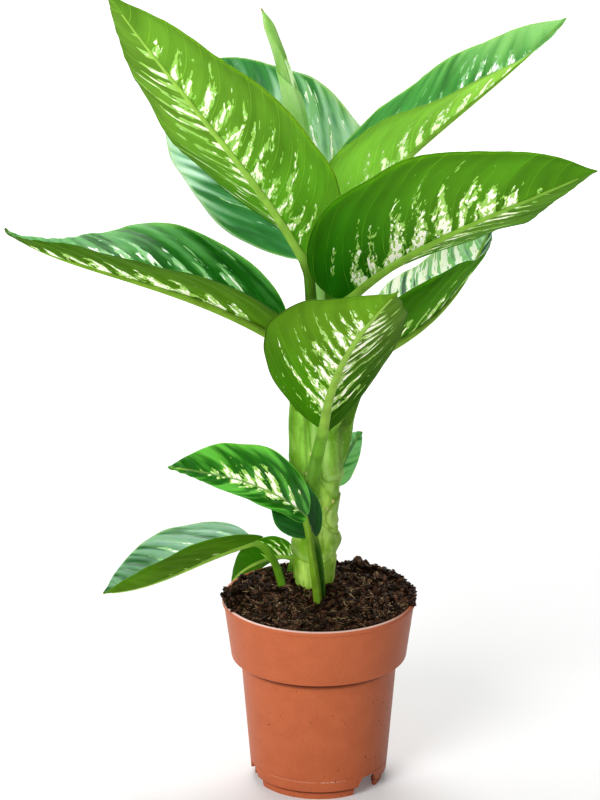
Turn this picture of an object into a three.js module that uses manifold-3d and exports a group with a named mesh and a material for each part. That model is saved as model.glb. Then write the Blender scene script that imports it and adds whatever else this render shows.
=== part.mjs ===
// A dieffenbachia in its round nursery pot: pot, soil, stem and each leaf are separate solids.
// Millimetres, +Z up. The origin is the middle of the pot's underside, and the plant's front faces -Y.

import * as THREE from 'three';
import { mergeVertices } from 'three/addons/utils/BufferGeometryUtils.js';
import Module from 'manifold-3d';

const wasm = await Module();
wasm.setup();

// Pot
const POT_HEIGHT = 169.5;
const RIM_RADIUS = 85;
const LIP_HEIGHT = 4.5;
const LIP_WIDTH = 3;
const COLLAR_TOP_RADIUS = 83.6;
const COLLAR_FOOT_RADIUS = 77;
const COLLAR_FOOT_HEIGHT = 116;
const BODY_TOP_RADIUS = 69;
const BODY_FOOT_RADIUS = 61;
const FLOOR_HEIGHT = 17.5;
const SKIRT_HEIGHT = 8;
const SKIRT_RADIUS = 60;
const FOOT_RADIUS = 56.5;
const FOOT_WIDTH = 2.6;
const CENTRE_WELL_RADIUS = 16;
const WALL = 1.9;
const POT_SIDES = 40;
const NOTCHES = 3;
const NOTCH_ANGLE = -44;
const NOTCH_TOP_WIDTH = 14;
const NOTCH_FOOT_WIDTH = 26;
const NOTCH_CORNER = 2.5;
const NOTCH_DEPTH = 20;
const FLOOR_HOLES = 6;
const FLOOR_HOLE_RADIUS = 4.5;
const FLOOR_HOLE_CIRCLE = 42;
const FLOOR_HOLE_SIDES = 12;

// Soil
const SOIL_EDGE_HEIGHT = 166;
const SOIL_MOUND = 10;
const SOIL_RINGS = 6;
const GAP = 0.3;

// Leaves
const BLADE_THICKNESS = 0.8;
const BLADE_START = 0.012;
const BLADE_END = 0.994;
const ROW_SPREAD = 1.15;
const RIB_SIDES = 6;
const RIB_END = 0.9;
const RIB_END_RADIUS = 0.9;
const RIB_DEPTH = 0.55;

// How far up its sheath a petiole is seated, and how thick the sheath is round it at its foot and top.
const SOCKET_DEPTH = 0.6;
const SHEATH_WALL = [2.4, 1.2];
const SHEATH_STEPS = 5;
const SHEATH_SIDES = 10;

// A Bezier curve from four points [x, y, z].
function curve(points) {
  return new THREE.CubicBezierCurve3(...points.map((p) => new THREE.Vector3(...p)));
}

function mix(a, b, t) {
  return a + (b - a) * t;
}

function toSolid(geometry) {
  const bare = geometry.clone();
  bare.deleteAttribute('normal');
  bare.deleteAttribute('uv');
  const merged = mergeVertices(bare, 1e-4);
  return new wasm.Manifold(new wasm.Mesh({
    numProp: 3,
    vertProperties: new Float32Array(merged.attributes.position.array),
    triVerts: new Uint32Array(merged.index.array),
  }));
}

function toGeometry(solid) {
  const mesh = solid.getMesh();
  const geometry = new THREE.BufferGeometry();
  geometry.setAttribute('position', new THREE.BufferAttribute(new Float32Array(mesh.vertProperties), 3));
  geometry.setIndex(Array.from(mesh.triVerts));
  geometry.computeVertexNormals();
  return geometry;
}

// A closed solid from a list of vertices and a list of triangles.
function faceted(vertices, triangles) {
  const geometry = new THREE.BufferGeometry();
  const coordinates = vertices.flatMap((vertex) => vertex.toArray());
  geometry.setAttribute('position', new THREE.Float32BufferAttribute(coordinates, 3));
  geometry.setIndex(triangles.flat());
  return geometry;
}

// The two triangles of a face with four corners.
function quad(a, b, c, d) {
  return [[a, b, d], [b, c, d]];
}

// A round tube through the given centres, with its own radius at each of them and flat ends.
function taperedTube(centres, radii, sides) {
  const vertices = [];
  const triangles = [];
  const tangent = (i) => new THREE.Vector3().subVectors(
    centres[Math.min(i + 1, centres.length - 1)],
    centres[Math.max(i - 1, 0)],
  ).normalize();
  let across = new THREE.Vector3(1, 0, 0);
  if (Math.abs(tangent(0).x) > 0.8) {
    across = new THREE.Vector3(0, 1, 0);
  }
  centres.forEach((centre, i) => {
    const along = tangent(i);
    across = across.clone().addScaledVector(along, -across.dot(along)).normalize();
    const third = new THREE.Vector3().crossVectors(along, across);
    for (let k = 0; k < sides; k += 1) {
      const angle = (2 * Math.PI * k) / sides;
      vertices.push(centre.clone()
        .addScaledVector(across, radii[i] * Math.cos(angle))
        .addScaledVector(third, radii[i] * Math.sin(angle)));
    }
  });
  const at = (i, k) => i * sides + (k % sides);
  for (let i = 0; i + 1 < centres.length; i += 1) {
    for (let k = 0; k < sides; k += 1) {
      triangles.push(...quad(at(i, k), at(i, k + 1), at(i + 1, k + 1), at(i + 1, k)));
    }
  }
  const last = centres.length - 1;
  vertices.push(centres[0].clone(), centres[last].clone());
  for (let k = 0; k < sides; k += 1) {
    triangles.push([vertices.length - 2, at(0, k + 1), at(0, k)]);
    triangles.push([vertices.length - 1, at(last, k), at(last, k + 1)]);
  }
  return faceted(vertices, triangles);
}

function lathe(profile, sides) {
  const geometry = new THREE.LatheGeometry(profile.map(([r, z]) => new THREE.Vector2(r, z)), sides);
  geometry.rotateX(Math.PI / 2);
  return geometry;
}

// The pot: a rolled lip on a wide collar, a tapering body, and a skirt and foot ring under a raised
// floor. Three notches drain the space under the floor, and its middle reaches down to the ground.
function makePot() {
  const profile = [
    [0, 0],
    [CENTRE_WELL_RADIUS, 0],
    [CENTRE_WELL_RADIUS + 4, FLOOR_HEIGHT],
    [SKIRT_RADIUS - WALL, FLOOR_HEIGHT],
    [SKIRT_RADIUS - WALL - 0.3, SKIRT_HEIGHT + WALL],
    [FOOT_RADIUS - FOOT_WIDTH, SKIRT_HEIGHT + WALL],
    [FOOT_RADIUS - FOOT_WIDTH, 0],
    [FOOT_RADIUS - 0.7, 0],
    [FOOT_RADIUS, 0.7],
    [FOOT_RADIUS, SKIRT_HEIGHT],
    [SKIRT_RADIUS - 0.6, SKIRT_HEIGHT],
    [SKIRT_RADIUS, SKIRT_HEIGHT + 0.8],
    [BODY_FOOT_RADIUS, FLOOR_HEIGHT + 0.7],
    [BODY_TOP_RADIUS, COLLAR_FOOT_HEIGHT],
    [COLLAR_FOOT_RADIUS - 0.8, COLLAR_FOOT_HEIGHT],
    [COLLAR_FOOT_RADIUS, COLLAR_FOOT_HEIGHT + 1],
    [COLLAR_TOP_RADIUS, POT_HEIGHT - LIP_HEIGHT],
    [RIM_RADIUS - 0.4, POT_HEIGHT - LIP_HEIGHT + 0.4],
    [RIM_RADIUS, POT_HEIGHT - 2.2],
    [RIM_RADIUS - 0.6, POT_HEIGHT - 0.5],
    [RIM_RADIUS - 1.6, POT_HEIGHT],
    [RIM_RADIUS - LIP_WIDTH, POT_HEIGHT - 0.8],
    [COLLAR_TOP_RADIUS - WALL, POT_HEIGHT - LIP_HEIGHT],
    [COLLAR_FOOT_RADIUS - WALL, COLLAR_FOOT_HEIGHT + WALL],
    [BODY_TOP_RADIUS - WALL, COLLAR_FOOT_HEIGHT + WALL - 1],
    [BODY_FOOT_RADIUS - WALL, FLOOR_HEIGHT + 4],
    [BODY_FOOT_RADIUS - WALL - 2, FLOOR_HEIGHT + WALL],
    [CENTRE_WELL_RADIUS + 2, FLOOR_HEIGHT + WALL],
    [CENTRE_WELL_RADIUS - 2, WALL],
    [0, WALL],
  ];
  let pot = toSolid(lathe(profile, POT_SIDES));
  for (let i = 0; i < NOTCHES; i += 1) {
    pot = pot.subtract(notch(NOTCH_ANGLE + (360 * i) / NOTCHES));
  }
  for (let i = 0; i < FLOOR_HOLES; i += 1) {
    pot = pot.subtract(floorHole((360 * (i + 0.5)) / FLOOR_HOLES));
  }
  return toGeometry(pot);
}

// The wedge that is cut out of the skirt and the foot ring, whose ends are rounded at the ground.
function notch(degrees) {
  const top = FLOOR_HEIGHT - 0.8;
  const outline = new THREE.Shape();
  const half = NOTCH_FOOT_WIDTH / 2;
  const rightSide = [
    [half + NOTCH_CORNER, -1],
    [half + NOTCH_CORNER * 0.3, NOTCH_CORNER * 0.3],
    [half, NOTCH_CORNER],
    [half - 1.3, SKIRT_HEIGHT],
    [NOTCH_TOP_WIDTH / 2, top],
  ];
  const leftSide = rightSide.map(([across, z]) => [-across, z]).reverse();
  outline.setFromPoints([...rightSide, ...leftSide].map(([across, z]) => new THREE.Vector2(across, z)));
  const wedge = new THREE.ExtrudeGeometry(outline, { depth: NOTCH_DEPTH, bevelEnabled: false });
  wedge.rotateX(Math.PI / 2);
  wedge.rotateZ(Math.PI / 2);
  wedge.translate(FOOT_RADIUS - NOTCH_DEPTH / 2, 0, 0);
  wedge.rotateZ(THREE.MathUtils.degToRad(degrees));
  return toSolid(wedge);
}

function floorHole(degrees) {
  const hole = new THREE.CylinderGeometry(FLOOR_HOLE_RADIUS, FLOOR_HOLE_RADIUS, 10, FLOOR_HOLE_SIDES);
  hole.rotateX(Math.PI / 2);
  hole.translate(FLOOR_HOLE_CIRCLE, 0, FLOOR_HEIGHT);
  hole.rotateZ(THREE.MathUtils.degToRad(degrees));
  return toSolid(hole);
}

// The soil's surface: mounded round the stem, uneven, with one clod at the back right.
function soilHeight(x, y) {
  const reach = Math.hypot(x, y) / COLLAR_TOP_RADIUS;
  const mound = SOIL_MOUND * Math.exp(-(((x + 2) / 42) ** 2) - ((y - 28) / 38) ** 2);
  const lumps = 1.3 * Math.sin(x / 9 + 1) * Math.cos(y / 8) + 0.8 * Math.sin((x + y) / 5);
  const clod = 13 * Math.exp(-(((x - 35) / 7) ** 2) - ((y - 58) / 8) ** 2);
  return SOIL_EDGE_HEIGHT + mound + lumps * (1 - reach ** 4) + clod + 3 * reach ** 2;
}

function makeSoil(standing) {
  const wallRadius = (z) => mix(BODY_FOOT_RADIUS, BODY_TOP_RADIUS,
    (z - FLOOR_HEIGHT) / (COLLAR_FOOT_HEIGHT - FLOOR_HEIGHT)) - WALL - 0.6;
  const side = [
    [CENTRE_WELL_RADIUS - 2.4, WALL + GAP],
    [CENTRE_WELL_RADIUS + 1.6, FLOOR_HEIGHT + WALL + GAP],
    [wallRadius(FLOOR_HEIGHT) - 2.4, FLOOR_HEIGHT + WALL + GAP],
    [wallRadius(FLOOR_HEIGHT + 4), FLOOR_HEIGHT + 4.5],
    [wallRadius(COLLAR_FOOT_HEIGHT), COLLAR_FOOT_HEIGHT + WALL - 0.6],
    [COLLAR_FOOT_RADIUS - WALL - 0.7, COLLAR_FOOT_HEIGHT + WALL + 0.6],
    [COLLAR_TOP_RADIUS - WALL - 0.7, POT_HEIGHT - LIP_HEIGHT - 1],
  ];
  const vertices = [new THREE.Vector3(0, 0, WALL + GAP)];
  const triangles = [];
  const sides = POT_SIDES;
  const ring = (r, z) => {
    for (let k = 0; k < sides; k += 1) {
      const angle = (2 * Math.PI * k) / sides;
      const x = r * Math.cos(angle);
      const y = r * Math.sin(angle);
      vertices.push(new THREE.Vector3(x, y, z === null ? soilHeight(x, y) : z));
    }
  };
  side.forEach(([r, z]) => ring(r, z));
  for (let i = SOIL_RINGS; i > 0; i -= 1) {
    ring(((COLLAR_TOP_RADIUS - WALL - 0.9) * i) / SOIL_RINGS, null);
  }
  vertices.push(new THREE.Vector3(0, 0, soilHeight(0, 0)));
  const rings = side.length + SOIL_RINGS;
  const at = (i, k) => 1 + i * sides + (k % sides);
  for (let k = 0; k < sides; k += 1) {
    triangles.push([0, at(0, k + 1), at(0, k)]);
    for (let i = 0; i + 1 < rings; i += 1) {
      triangles.push(...quad(at(i, k), at(i, k + 1), at(i + 1, k + 1), at(i + 1, k)));
    }
    triangles.push([at(rings - 1, k), at(rings - 1, k + 1), vertices.length - 1]);
  }
  let soil = toSolid(faceted(vertices, triangles));
  standing.forEach((stalk) => {
    soil = soil.subtract(stalk);
  });
  return toGeometry(soil);
}

// The main cane: its centre line from the soil to the crown, and its radius at each height. The radius
// swells at each node and steps in above it.
const CANE = [
  { at: [-3, 27, 112], r: 17 },
  { at: [-4, 26, 172], r: 17.5 },
  { at: [-4, 25, 198], r: 20 },
  { at: [-4, 25, 200], r: 19 },
  { at: [-3, 24, 213], r: 21.5 },
  { at: [-3, 24, 219], r: 19.5 },
  { at: [-3, 23, 226], r: 20 },
  { at: [-3, 23, 229], r: 18.8 },
  { at: [-2, 22, 262], r: 19.5 },
  { at: [0, 21, 278], r: 20.5 },
  { at: [0, 20, 281], r: 20 },
  { at: [-1, 18, 320], r: 19 },
  { at: [-1, 17, 360], r: 16 },
  { at: [0, 16, 392], r: 12 },
];
const CANE_SIDES = 14;

// Each leaf: `petiole` runs from its root in the stem or the soil to the blade, `rib` from there to the
// tip, both as Bezier points. `sheath` is how far up the petiole clasps the stem, as a share of its
// length. `half` is the half-width of the two sides, `belly` where the blade is widest and `taper` how
// fast it narrows to the tip. `roll` turns the blade about its rib and `fold` lifts each side, in
// degrees at the base and at the tip. `curl` bends each side across, `lobe` draws its base back, and
// `wave` is the margin's height, count and phase. Sides are given as [right, left], looking along
// the rib from above.
const LEAVES = [
  {
    name: 'leaf_upper_left',
    petiole: [[-5, 7, 372], [-7, 1, 410], [-5, -13, 446], [-11, -14, 481]],
    rib: [[-11, -14, 481], [-53, -11, 554], [-100, -68, 617], [-168, -88, 720]],
    sheath: 0.2, radius: [6.5, 4.6],
    half: [66, 67], belly: 0.33, taper: 0.68, roll: [-32, -43],
    fold: [[22, 13], [15, 12]], curl: [10, 2], lobe: [0, 3], wave: [2.5, 3, 0.2],
  },
  {
    name: 'leaf_back_left',
    petiole: [[3, 29, 372], [4, 40, 410], [8, 43, 448], [11, 48, 483]],
    rib: [[11, 48, 483], [-21, 91, 533], [-83, 106, 584], [-122, 150, 609]],
    sheath: 0.2, radius: [6.5, 4.6],
    half: [87, 90], belly: 0.39, taper: 0.8, roll: [14, 25],
    fold: [[7, 9], [2, -2]], curl: [5, -8], lobe: [9, 20], wave: [2, 3, 0.6],
  },
  {
    name: 'leaf_upper_right',
    petiole: [[11, 20, 372], [17, 22, 425], [15, 14, 466], [21, 18, 505]],
    rib: [[21, 18, 505], [67, 30, 567], [143, 5, 618], [203, 20, 678]],
    sheath: 0.2, radius: [6.5, 4.6],
    half: [74, 73], belly: 0.27, taper: 0.74, roll: [9, -18],
    fold: [[53, 32], [33, 25]], curl: [-12, -2], lobe: [8, 11], wave: [1.5, 3, 0.1],
  },
  {
    name: 'leaf_right',
    petiole: [[9, 9, 318], [12, 3, 365], [17, -4, 415], [20, -21, 446]],
    rib: [[20, -21, 446], [71, -54, 506], [133, -114, 544], [220, -101, 580]],
    sheath: 0.35, radius: [8, 4.8],
    half: [94, 91], belly: 0.42, taper: 0.78, roll: [21, 52],
    fold: [[11, 18], [25, 15]], curl: [-1, 8], lobe: [0, 2], wave: [2, 3, 0.4],
  },
  {
    name: 'leaf_left',
    petiole: [[-14, 14, 262], [-18, 8, 330], [-16, 6, 372], [-31, 0, 406]],
    rib: [[-31, 0, 406], [-122, -24, 470], [-217, -56, 483], [-264, -5, 503]],
    sheath: 0.5, radius: [9.5, 5],
    half: [74, 76], belly: 0.4, taper: 0.85, roll: [15, -16],
    fold: [[49, 7], [45, 21]], curl: [-11, -12], lobe: [5, 16], wave: [2, 2, 0.5],
  },
  {
    name: 'leaf_front',
    petiole: [[-5, 8, 248], [-9, 0, 274], [-2, -22, 304], [3, -47, 340]],
    rib: [[3, -47, 340], [9, -86, 412], [31, -143, 457], [60, -190, 504]],
    sheath: 0.16, radius: [6.5, 4.6],
    half: [69, 63], belly: 0.38, taper: 1.1, roll: [2, 12],
    fold: [[28, 25], [22, 14]], curl: [10, 14], lobe: [0, 7], wave: [1, 3, 0.3],
  },
  {
    name: 'leaf_back_right',
    petiole: [[14, 18, 286], [20, 22, 320], [30, 20, 354], [51, 36, 384]],
    rib: [[51, 36, 384], [100, 72, 396], [131, 124, 412], [153, 152, 461]],
    sheath: 0.4, radius: [8.5, 4.6],
    half: [58, 56], belly: 0.35, taper: 0.74, roll: [24, 0],
    fold: [[49, 35], [30, 30]], curl: [11, 0], lobe: [11, 8], wave: [1.5, 2, 0.2],
  },
  {
    name: 'leaf_small_right',
    petiole: [[2, 34, 226], [6, 44, 230], [10, 46, 244], [14, 47, 255]],
    rib: [[14, 47, 255], [18, 49, 270], [27, 50, 290], [37, 50, 304]],
    sheath: 0.05, radius: [3, 2.4],
    half: [12, 16], belly: 0.4, taper: 0.66, roll: [-75, -75],
    fold: [[10, 10], [10, 10]], curl: [6, 6], lobe: [0, 0], wave: [0.6, 2, 0.1], small: true,
  },
  {
    name: 'offshoot_leaf_front',
    petiole: [[2, -13, 124], [1, -13, 180], [-8, -26, 222], [-11, -34, 255]],
    rib: [[-11, -34, 255], [-42, -37, 290], [-83, -55, 300], [-126, -65, 313]],
    sheath: 0, radius: [5, 2.8],
    half: [40, 40], belly: 0.4, taper: 0.87, roll: [31, 24],
    fold: [[16, 14], [17, 16]], curl: [5, 8], lobe: [0, 0], wave: [1, 3, 0.2], small: true,
  },
  {
    name: 'offshoot_leaf_round',
    petiole: [[3, -2, 130], [3, -3, 172], [3, -10, 206], [-4, -19, 232]],
    rib: [[-4, -19, 232], [-14, -12, 253], [-28, -7, 273], [-49, -14, 284]],
    sheath: 0, radius: [3.4, 2.4],
    half: [22, 25], belly: 0.39, taper: 0.91, roll: [79, 71],
    fold: [[16, 13], [14, 15]], curl: [12, 11], lobe: [1, 0], wave: [0.6, 2, 0.3], small: true,
  },
  {
    name: 'offshoot_leaf_lower_left',
    petiole: [[-26, 18, 128], [-31, 21, 178], [-38, 20, 206], [-58, 20, 213]],
    rib: [[-58, 20, 213], [-104, 20, 199], [-142, 4, 173], [-186, -11, 177]],
    sheath: 0, radius: [5, 3],
    half: [46, 45], belly: 0.45, taper: 0.73, roll: [-4, -5],
    fold: [[32, 40], [34, 43]], curl: [1, 6], lobe: [0, 12], wave: [1, 2, 0.2], small: true,
  },
  {
    name: 'offshoot_leaf_behind',
    petiole: [[-30, 44, 128], [-29, 42, 165], [-24, 43, 183], [-22, 52, 184]],
    rib: [[-22, 52, 184], [-28, 68, 186], [-68, 61, 178], [-78, 102, 141]],
    sheath: 0, radius: [4, 2.6],
    half: [15, 20], belly: 0.45, taper: 0.75, roll: [-70, -72],
    fold: [[45, 45], [16, 16]], curl: [2, 6], lobe: [0, 3], wave: [0.6, 2, 0.4], small: true,
  },
];

// The blade's half-width along the rib, as a share of its greatest.
function bladeProfile(t, belly, taper) {
  const rise = (taper * belly) / (1 - belly);
  return (t ** rise * (1 - t) ** taper) / (belly ** rise * (1 - belly) ** taper);
}

// The directions along the rib, across the blade to its right, and out of its upper face.
function ribFrame(leaf, rib, t) {
  const along = rib.getTangent(t);
  const level = new THREE.Vector3(along.y, -along.x, 0).normalize();
  const above = new THREE.Vector3().crossVectors(level, along);
  const roll = THREE.MathUtils.degToRad(mix(...leaf.roll, t));
  const across = level.multiplyScalar(Math.cos(roll)).addScaledVector(above, Math.sin(roll));
  const normal = new THREE.Vector3().crossVectors(across, along);
  return { along, across, normal };
}

// A point of the blade: `t` runs along the rib, and `s` across it, from -1 at the left margin to 1.
function bladePoint(leaf, rib, t, s) {
  const k = s >= 0 ? 0 : 1;
  const out = Math.abs(s);
  const { along, across, normal } = ribFrame(leaf, rib, t);
  const fold = THREE.MathUtils.degToRad(mix(...leaf.fold[k], t));
  const bend = (THREE.MathUtils.degToRad(leaf.curl[k]) * out) / 2;
  const reach = leaf.half[k] * bladeProfile(t, leaf.belly, leaf.taper) * out
    * (bend === 0 ? 1 : Math.sin(bend) / bend);
  const [height, count, phase] = leaf.wave;
  const beat = Math.sin(2 * Math.PI * (count * t + phase + k / 3));
  const wave = height * out ** 2 * beat * Math.sin(Math.PI * t);
  const back = leaf.lobe[k] * out ** 1.5 * (1 - t) ** 5;
  return rib.getPoint(t)
    .addScaledVector(across, Math.sign(s) * reach * Math.cos(fold + bend))
    .addScaledVector(normal, reach * Math.sin(fold + bend) + wave)
    .addScaledVector(along, -back);
}

// The points along the outline of a grid, once round.
function gridEdge(rows, columns) {
  const edge = [];
  for (let j = 0; j + 1 < columns; j += 1) {
    edge.push(j);
  }
  for (let i = 0; i + 1 < rows; i += 1) {
    edge.push(i * columns + columns - 1);
  }
  for (let j = columns - 1; j > 0; j -= 1) {
    edge.push((rows - 1) * columns + j);
  }
  for (let i = rows - 1; i > 0; i -= 1) {
    edge.push(i * columns);
  }
  return edge;
}

// The blade as a thin solid: one grid of faces above, the same grid below, and a strip round the edge.
function makeBlade(leaf) {
  const rib = curve(leaf.rib);
  const rows = leaf.small ? 10 : 15;
  const half = leaf.small ? 3 : 4;
  const columns = 2 * half + 1;
  const top = [];
  for (let i = 0; i < rows; i += 1) {
    const t = mix(BLADE_START, BLADE_END, (i / (rows - 1)) ** ROW_SPREAD);
    for (let j = -half; j <= half; j += 1) {
      top.push(bladePoint(leaf, rib, t, j / half));
    }
  }
  const at = (i, j) => i * columns + j;
  const faces = [];
  for (let i = 0; i + 1 < rows; i += 1) {
    for (let j = 0; j + 1 < columns; j += 1) {
      faces.push([at(i, j), at(i + 1, j), at(i, j + 1)]);
      faces.push([at(i, j + 1), at(i + 1, j), at(i + 1, j + 1)]);
    }
  }
  const sheet = faceted(top, faces);
  sheet.computeVertexNormals();
  const normals = sheet.attributes.normal;
  const bottom = top.map((p, i) => p.clone()
    .addScaledVector(new THREE.Vector3().fromBufferAttribute(normals, i), BLADE_THICKNESS));
  const n = top.length;
  const edge = gridEdge(rows, columns);
  const triangles = [];
  faces.forEach(([a, b, c]) => {
    triangles.push([a, c, b], [a + n, b + n, c + n]);
  });
  edge.forEach((a, i) => {
    const b = edge[(i + 1) % edge.length];
    triangles.push(...quad(b, a, a + n, b + n));
  });
  return faceted([...top, ...bottom], triangles);
}

// The petiole from `start` (a share of its length) and the rib that carries it on under the blade.
// `grow` widens it and lowers its foot, for the socket that it stands in.
function makePetiole(leaf, start, grow) {
  const petiole = curve(leaf.petiole);
  const rib = curve(leaf.rib);
  const centres = [];
  const radii = [];
  const steps = leaf.small ? 5 : 7;
  for (let i = 0; i < steps; i += 1) {
    const t = mix(start, 1, i / steps);
    centres.push(petiole.getPoint(t));
    radii.push(mix(...leaf.radius, t) + grow);
  }
  centres[0].addScaledVector(petiole.getTangent(start), -grow);
  const ribSteps = leaf.small ? 6 : 9;
  for (let i = 0; i <= ribSteps; i += 1) {
    const t = RIB_END * (i / ribSteps);
    const r = mix(leaf.radius[1], RIB_END_RADIUS, t ** 0.7);
    const { normal } = ribFrame(leaf, rib, t);
    centres.push(rib.getPoint(t).addScaledVector(normal, -RIB_DEPTH * r));
    radii.push(r + grow);
  }
  return toSolid(taperedTube(centres, radii, RIB_SIDES));
}

function caneSolid(grow) {
  const centres = CANE.map((ring) => new THREE.Vector3(...ring.at));
  const radii = CANE.map((ring) => ring.r + grow);
  centres[0].z -= grow;
  return toSolid(taperedTube(centres, radii, CANE_SIDES));
}

// The leaf bases that clasp the stem: each follows its petiole up to the place where it frees itself.
function makeStem() {
  let stem = caneSolid(0);
  LEAVES.filter((leaf) => leaf.sheath > 0).forEach((leaf) => {
    const petiole = curve(leaf.petiole);
    const centres = [];
    const radii = [];
    for (let i = 0; i <= SHEATH_STEPS; i += 1) {
      const t = (leaf.sheath * i) / SHEATH_STEPS;
      centres.push(petiole.getPoint(t));
      radii.push(mix(...leaf.radius, t) + mix(...SHEATH_WALL, i / SHEATH_STEPS));
    }
    stem = stem.add(toSolid(taperedTube(centres, radii, SHEATH_SIDES)));
  });
  LEAVES.forEach((leaf) => {
    stem = stem.subtract(makePetiole(leaf, socketStart(leaf), GAP));
  });
  stem = stem.subtract(newLeafSolid(GAP));
  return largestBody(stem);
}

// Cutting the sockets can leave a loose crumb, which is dropped.
function largestBody(solid) {
  return solid.decompose().reduce((a, b) => (a.volume() > b.volume() ? a : b));
}

// How far down its own length a petiole is seated.
function socketStart(leaf) {
  return leaf.sheath * SOCKET_DEPTH;
}

// The new leaf, still rolled: a tapering spindle with the lip of its outer turn along one side.
const NEW_LEAF = {
  centre: [[0, 17, 386], [-1, 18, 470], [-8, 22, 600], [-49, 26, 688]],
  radii: [
    [0, 4],
    [0.4, 6.5],
    [0.7, 8.4],
    [0.8, 6],
    [0.9, 4.8],
    [0.945, 4.8],
    [0.967, 3],
    [0.985, 1.2],
    [1, 0.6],
  ],
  lip: 1.2,
};
const NEW_LEAF_STEPS = 30;
const NEW_LEAF_SIDES = 12;

function newLeafRadius(t) {
  const at = NEW_LEAF.radii.findIndex(([where]) => where >= t);
  if (at <= 0) {
    return NEW_LEAF.radii[0][1];
  }
  const [t0, r0] = NEW_LEAF.radii[at - 1];
  const [t1, r1] = NEW_LEAF.radii[at];
  return mix(r0, r1, (t - t0) / (t1 - t0));
}

function newLeafSolid(grow) {
  const line = curve(NEW_LEAF.centre);
  const vertices = [];
  const triangles = [];
  const n = NEW_LEAF_SIDES;
  for (let i = 0; i <= NEW_LEAF_STEPS; i += 1) {
    const t = i / NEW_LEAF_STEPS;
    const along = line.getTangent(t);
    const across = new THREE.Vector3(0, -1, 0).addScaledVector(along, along.y).normalize();
    const third = new THREE.Vector3().crossVectors(along, across);
    const centre = line.getPoint(t);
    if (i === 0) {
      centre.z -= grow;
    }
    for (let k = 0; k < n; k += 1) {
      const turn = k / (n - 1);
      const angle = 2 * Math.PI * turn * ((n - 1) / n) + 1.2 - 0.8 * t;
      const lip = t > 0.5 ? NEW_LEAF.lip * turn ** 3 * Math.sin(Math.PI * (t - 0.5) * 2) : 0;
      const r = newLeafRadius(t) + lip + grow;
      vertices.push(centre.clone()
        .addScaledVector(across, r * Math.cos(angle))
        .addScaledVector(third, r * Math.sin(angle)));
    }
  }
  const at = (i, k) => i * n + (k % n);
  for (let i = 0; i < NEW_LEAF_STEPS; i += 1) {
    for (let k = 0; k < n; k += 1) {
      triangles.push(...quad(at(i, k), at(i, k + 1), at(i + 1, k + 1), at(i + 1, k)));
    }
  }
  const foot = line.getPoint(0);
  foot.z -= grow;
  vertices.push(foot, line.getPoint(1));
  for (let k = 0; k < n; k += 1) {
    triangles.push([vertices.length - 2, at(0, k + 1), at(0, k)]);
    triangles.push([vertices.length - 1, at(NEW_LEAF_STEPS, k), at(NEW_LEAF_STEPS, k + 1)]);
  }
  return toSolid(faceted(vertices, triangles));
}

const plant = new THREE.Group();

function addPiece(name, geometry, color, roughness) {
  const mesh = new THREE.Mesh(geometry, new THREE.MeshStandardMaterial({ color, roughness, metalness: 0 }));
  mesh.name = name;
  plant.add(mesh);
}

const stalks = LEAVES.filter((leaf) => leaf.sheath === 0);
const holes = [caneSolid(GAP), ...stalks.map((leaf) => makePetiole(leaf, 0, GAP))];

addPiece('pot', makePot(), 0xb8603f, 0.5);
addPiece('soil', makeSoil(holes), 0x2c1f17, 0.95);
addPiece('stem', toGeometry(makeStem()), 0x7fb04a, 0.5);
LEAVES.forEach((leaf) => {
  const solid = toSolid(makeBlade(leaf)).add(makePetiole(leaf, socketStart(leaf), 0));
  addPiece(leaf.name, toGeometry(solid), leaf.small ? 0x2f7d38 : 0x5f9e33, 0.4);
});
addPiece('leaf_new', toGeometry(newLeafSolid(0)), 0x86bb62, 0.45);

export default plant;
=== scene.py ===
# The looks of a dieffenbachia in its nursery pot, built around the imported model.
# Lengths are in millimetres until a mesh is made, and in metres from there on. Colours are linear.
# The plant's front faces -Y. An angle round the pot or the stem is 0 at the front and 90 at the right.

import math

import bpy
import numpy as np
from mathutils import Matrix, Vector


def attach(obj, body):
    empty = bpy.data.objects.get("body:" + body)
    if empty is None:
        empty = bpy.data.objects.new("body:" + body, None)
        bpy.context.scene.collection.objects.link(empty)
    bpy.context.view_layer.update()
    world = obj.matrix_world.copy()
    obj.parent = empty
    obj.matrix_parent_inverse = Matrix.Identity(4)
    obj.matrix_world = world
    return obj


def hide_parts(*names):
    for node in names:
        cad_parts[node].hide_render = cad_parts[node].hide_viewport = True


MM = 0.001
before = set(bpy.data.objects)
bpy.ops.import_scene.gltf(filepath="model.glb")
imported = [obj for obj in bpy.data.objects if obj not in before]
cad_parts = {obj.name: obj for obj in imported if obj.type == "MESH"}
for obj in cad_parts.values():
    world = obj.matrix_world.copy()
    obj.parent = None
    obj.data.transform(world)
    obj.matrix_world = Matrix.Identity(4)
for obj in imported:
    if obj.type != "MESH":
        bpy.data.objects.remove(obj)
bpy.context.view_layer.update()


# Small helpers

def mix(a, b, t):
    return a + (b - a) * t


def smooth(x, low, high):
    """0 below low, 1 above high, and an even curve in between."""
    t = np.clip((np.asarray(x, float) - low) / (high - low), 0, 1)
    return t * t * (3 - 2 * t)


def unit(v):
    return v / np.linalg.norm(v, axis=-1, keepdims=True)


def triples(x, y, z):
    """Points, or other sets of three, from numbers and arrays that fit together."""
    return np.stack(np.broadcast_arrays(x, y, z), -1)


def once_round(steps):
    """Angles once round a circle, in equal steps."""
    return 2 * math.pi * np.arange(steps) / steps


def bell(x, middle, width):
    return np.exp(-(((x - middle) / width) ** 2))


def dimmed(colour, share):
    return tuple(share * c for c in colour)


def between(a, b, t):
    """A colour part of the way from a to b."""
    return tuple(mix(p, q, t) for p, q in zip(a, b))


def bezier(points, t):
    p = np.array(points, float)
    t = np.asarray(t, float)[:, None]
    return (1 - t) ** 3 * p[0] + 3 * (1 - t) ** 2 * t * p[1] + 3 * (1 - t) * t**2 * p[2] + t**3 * p[3]


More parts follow.
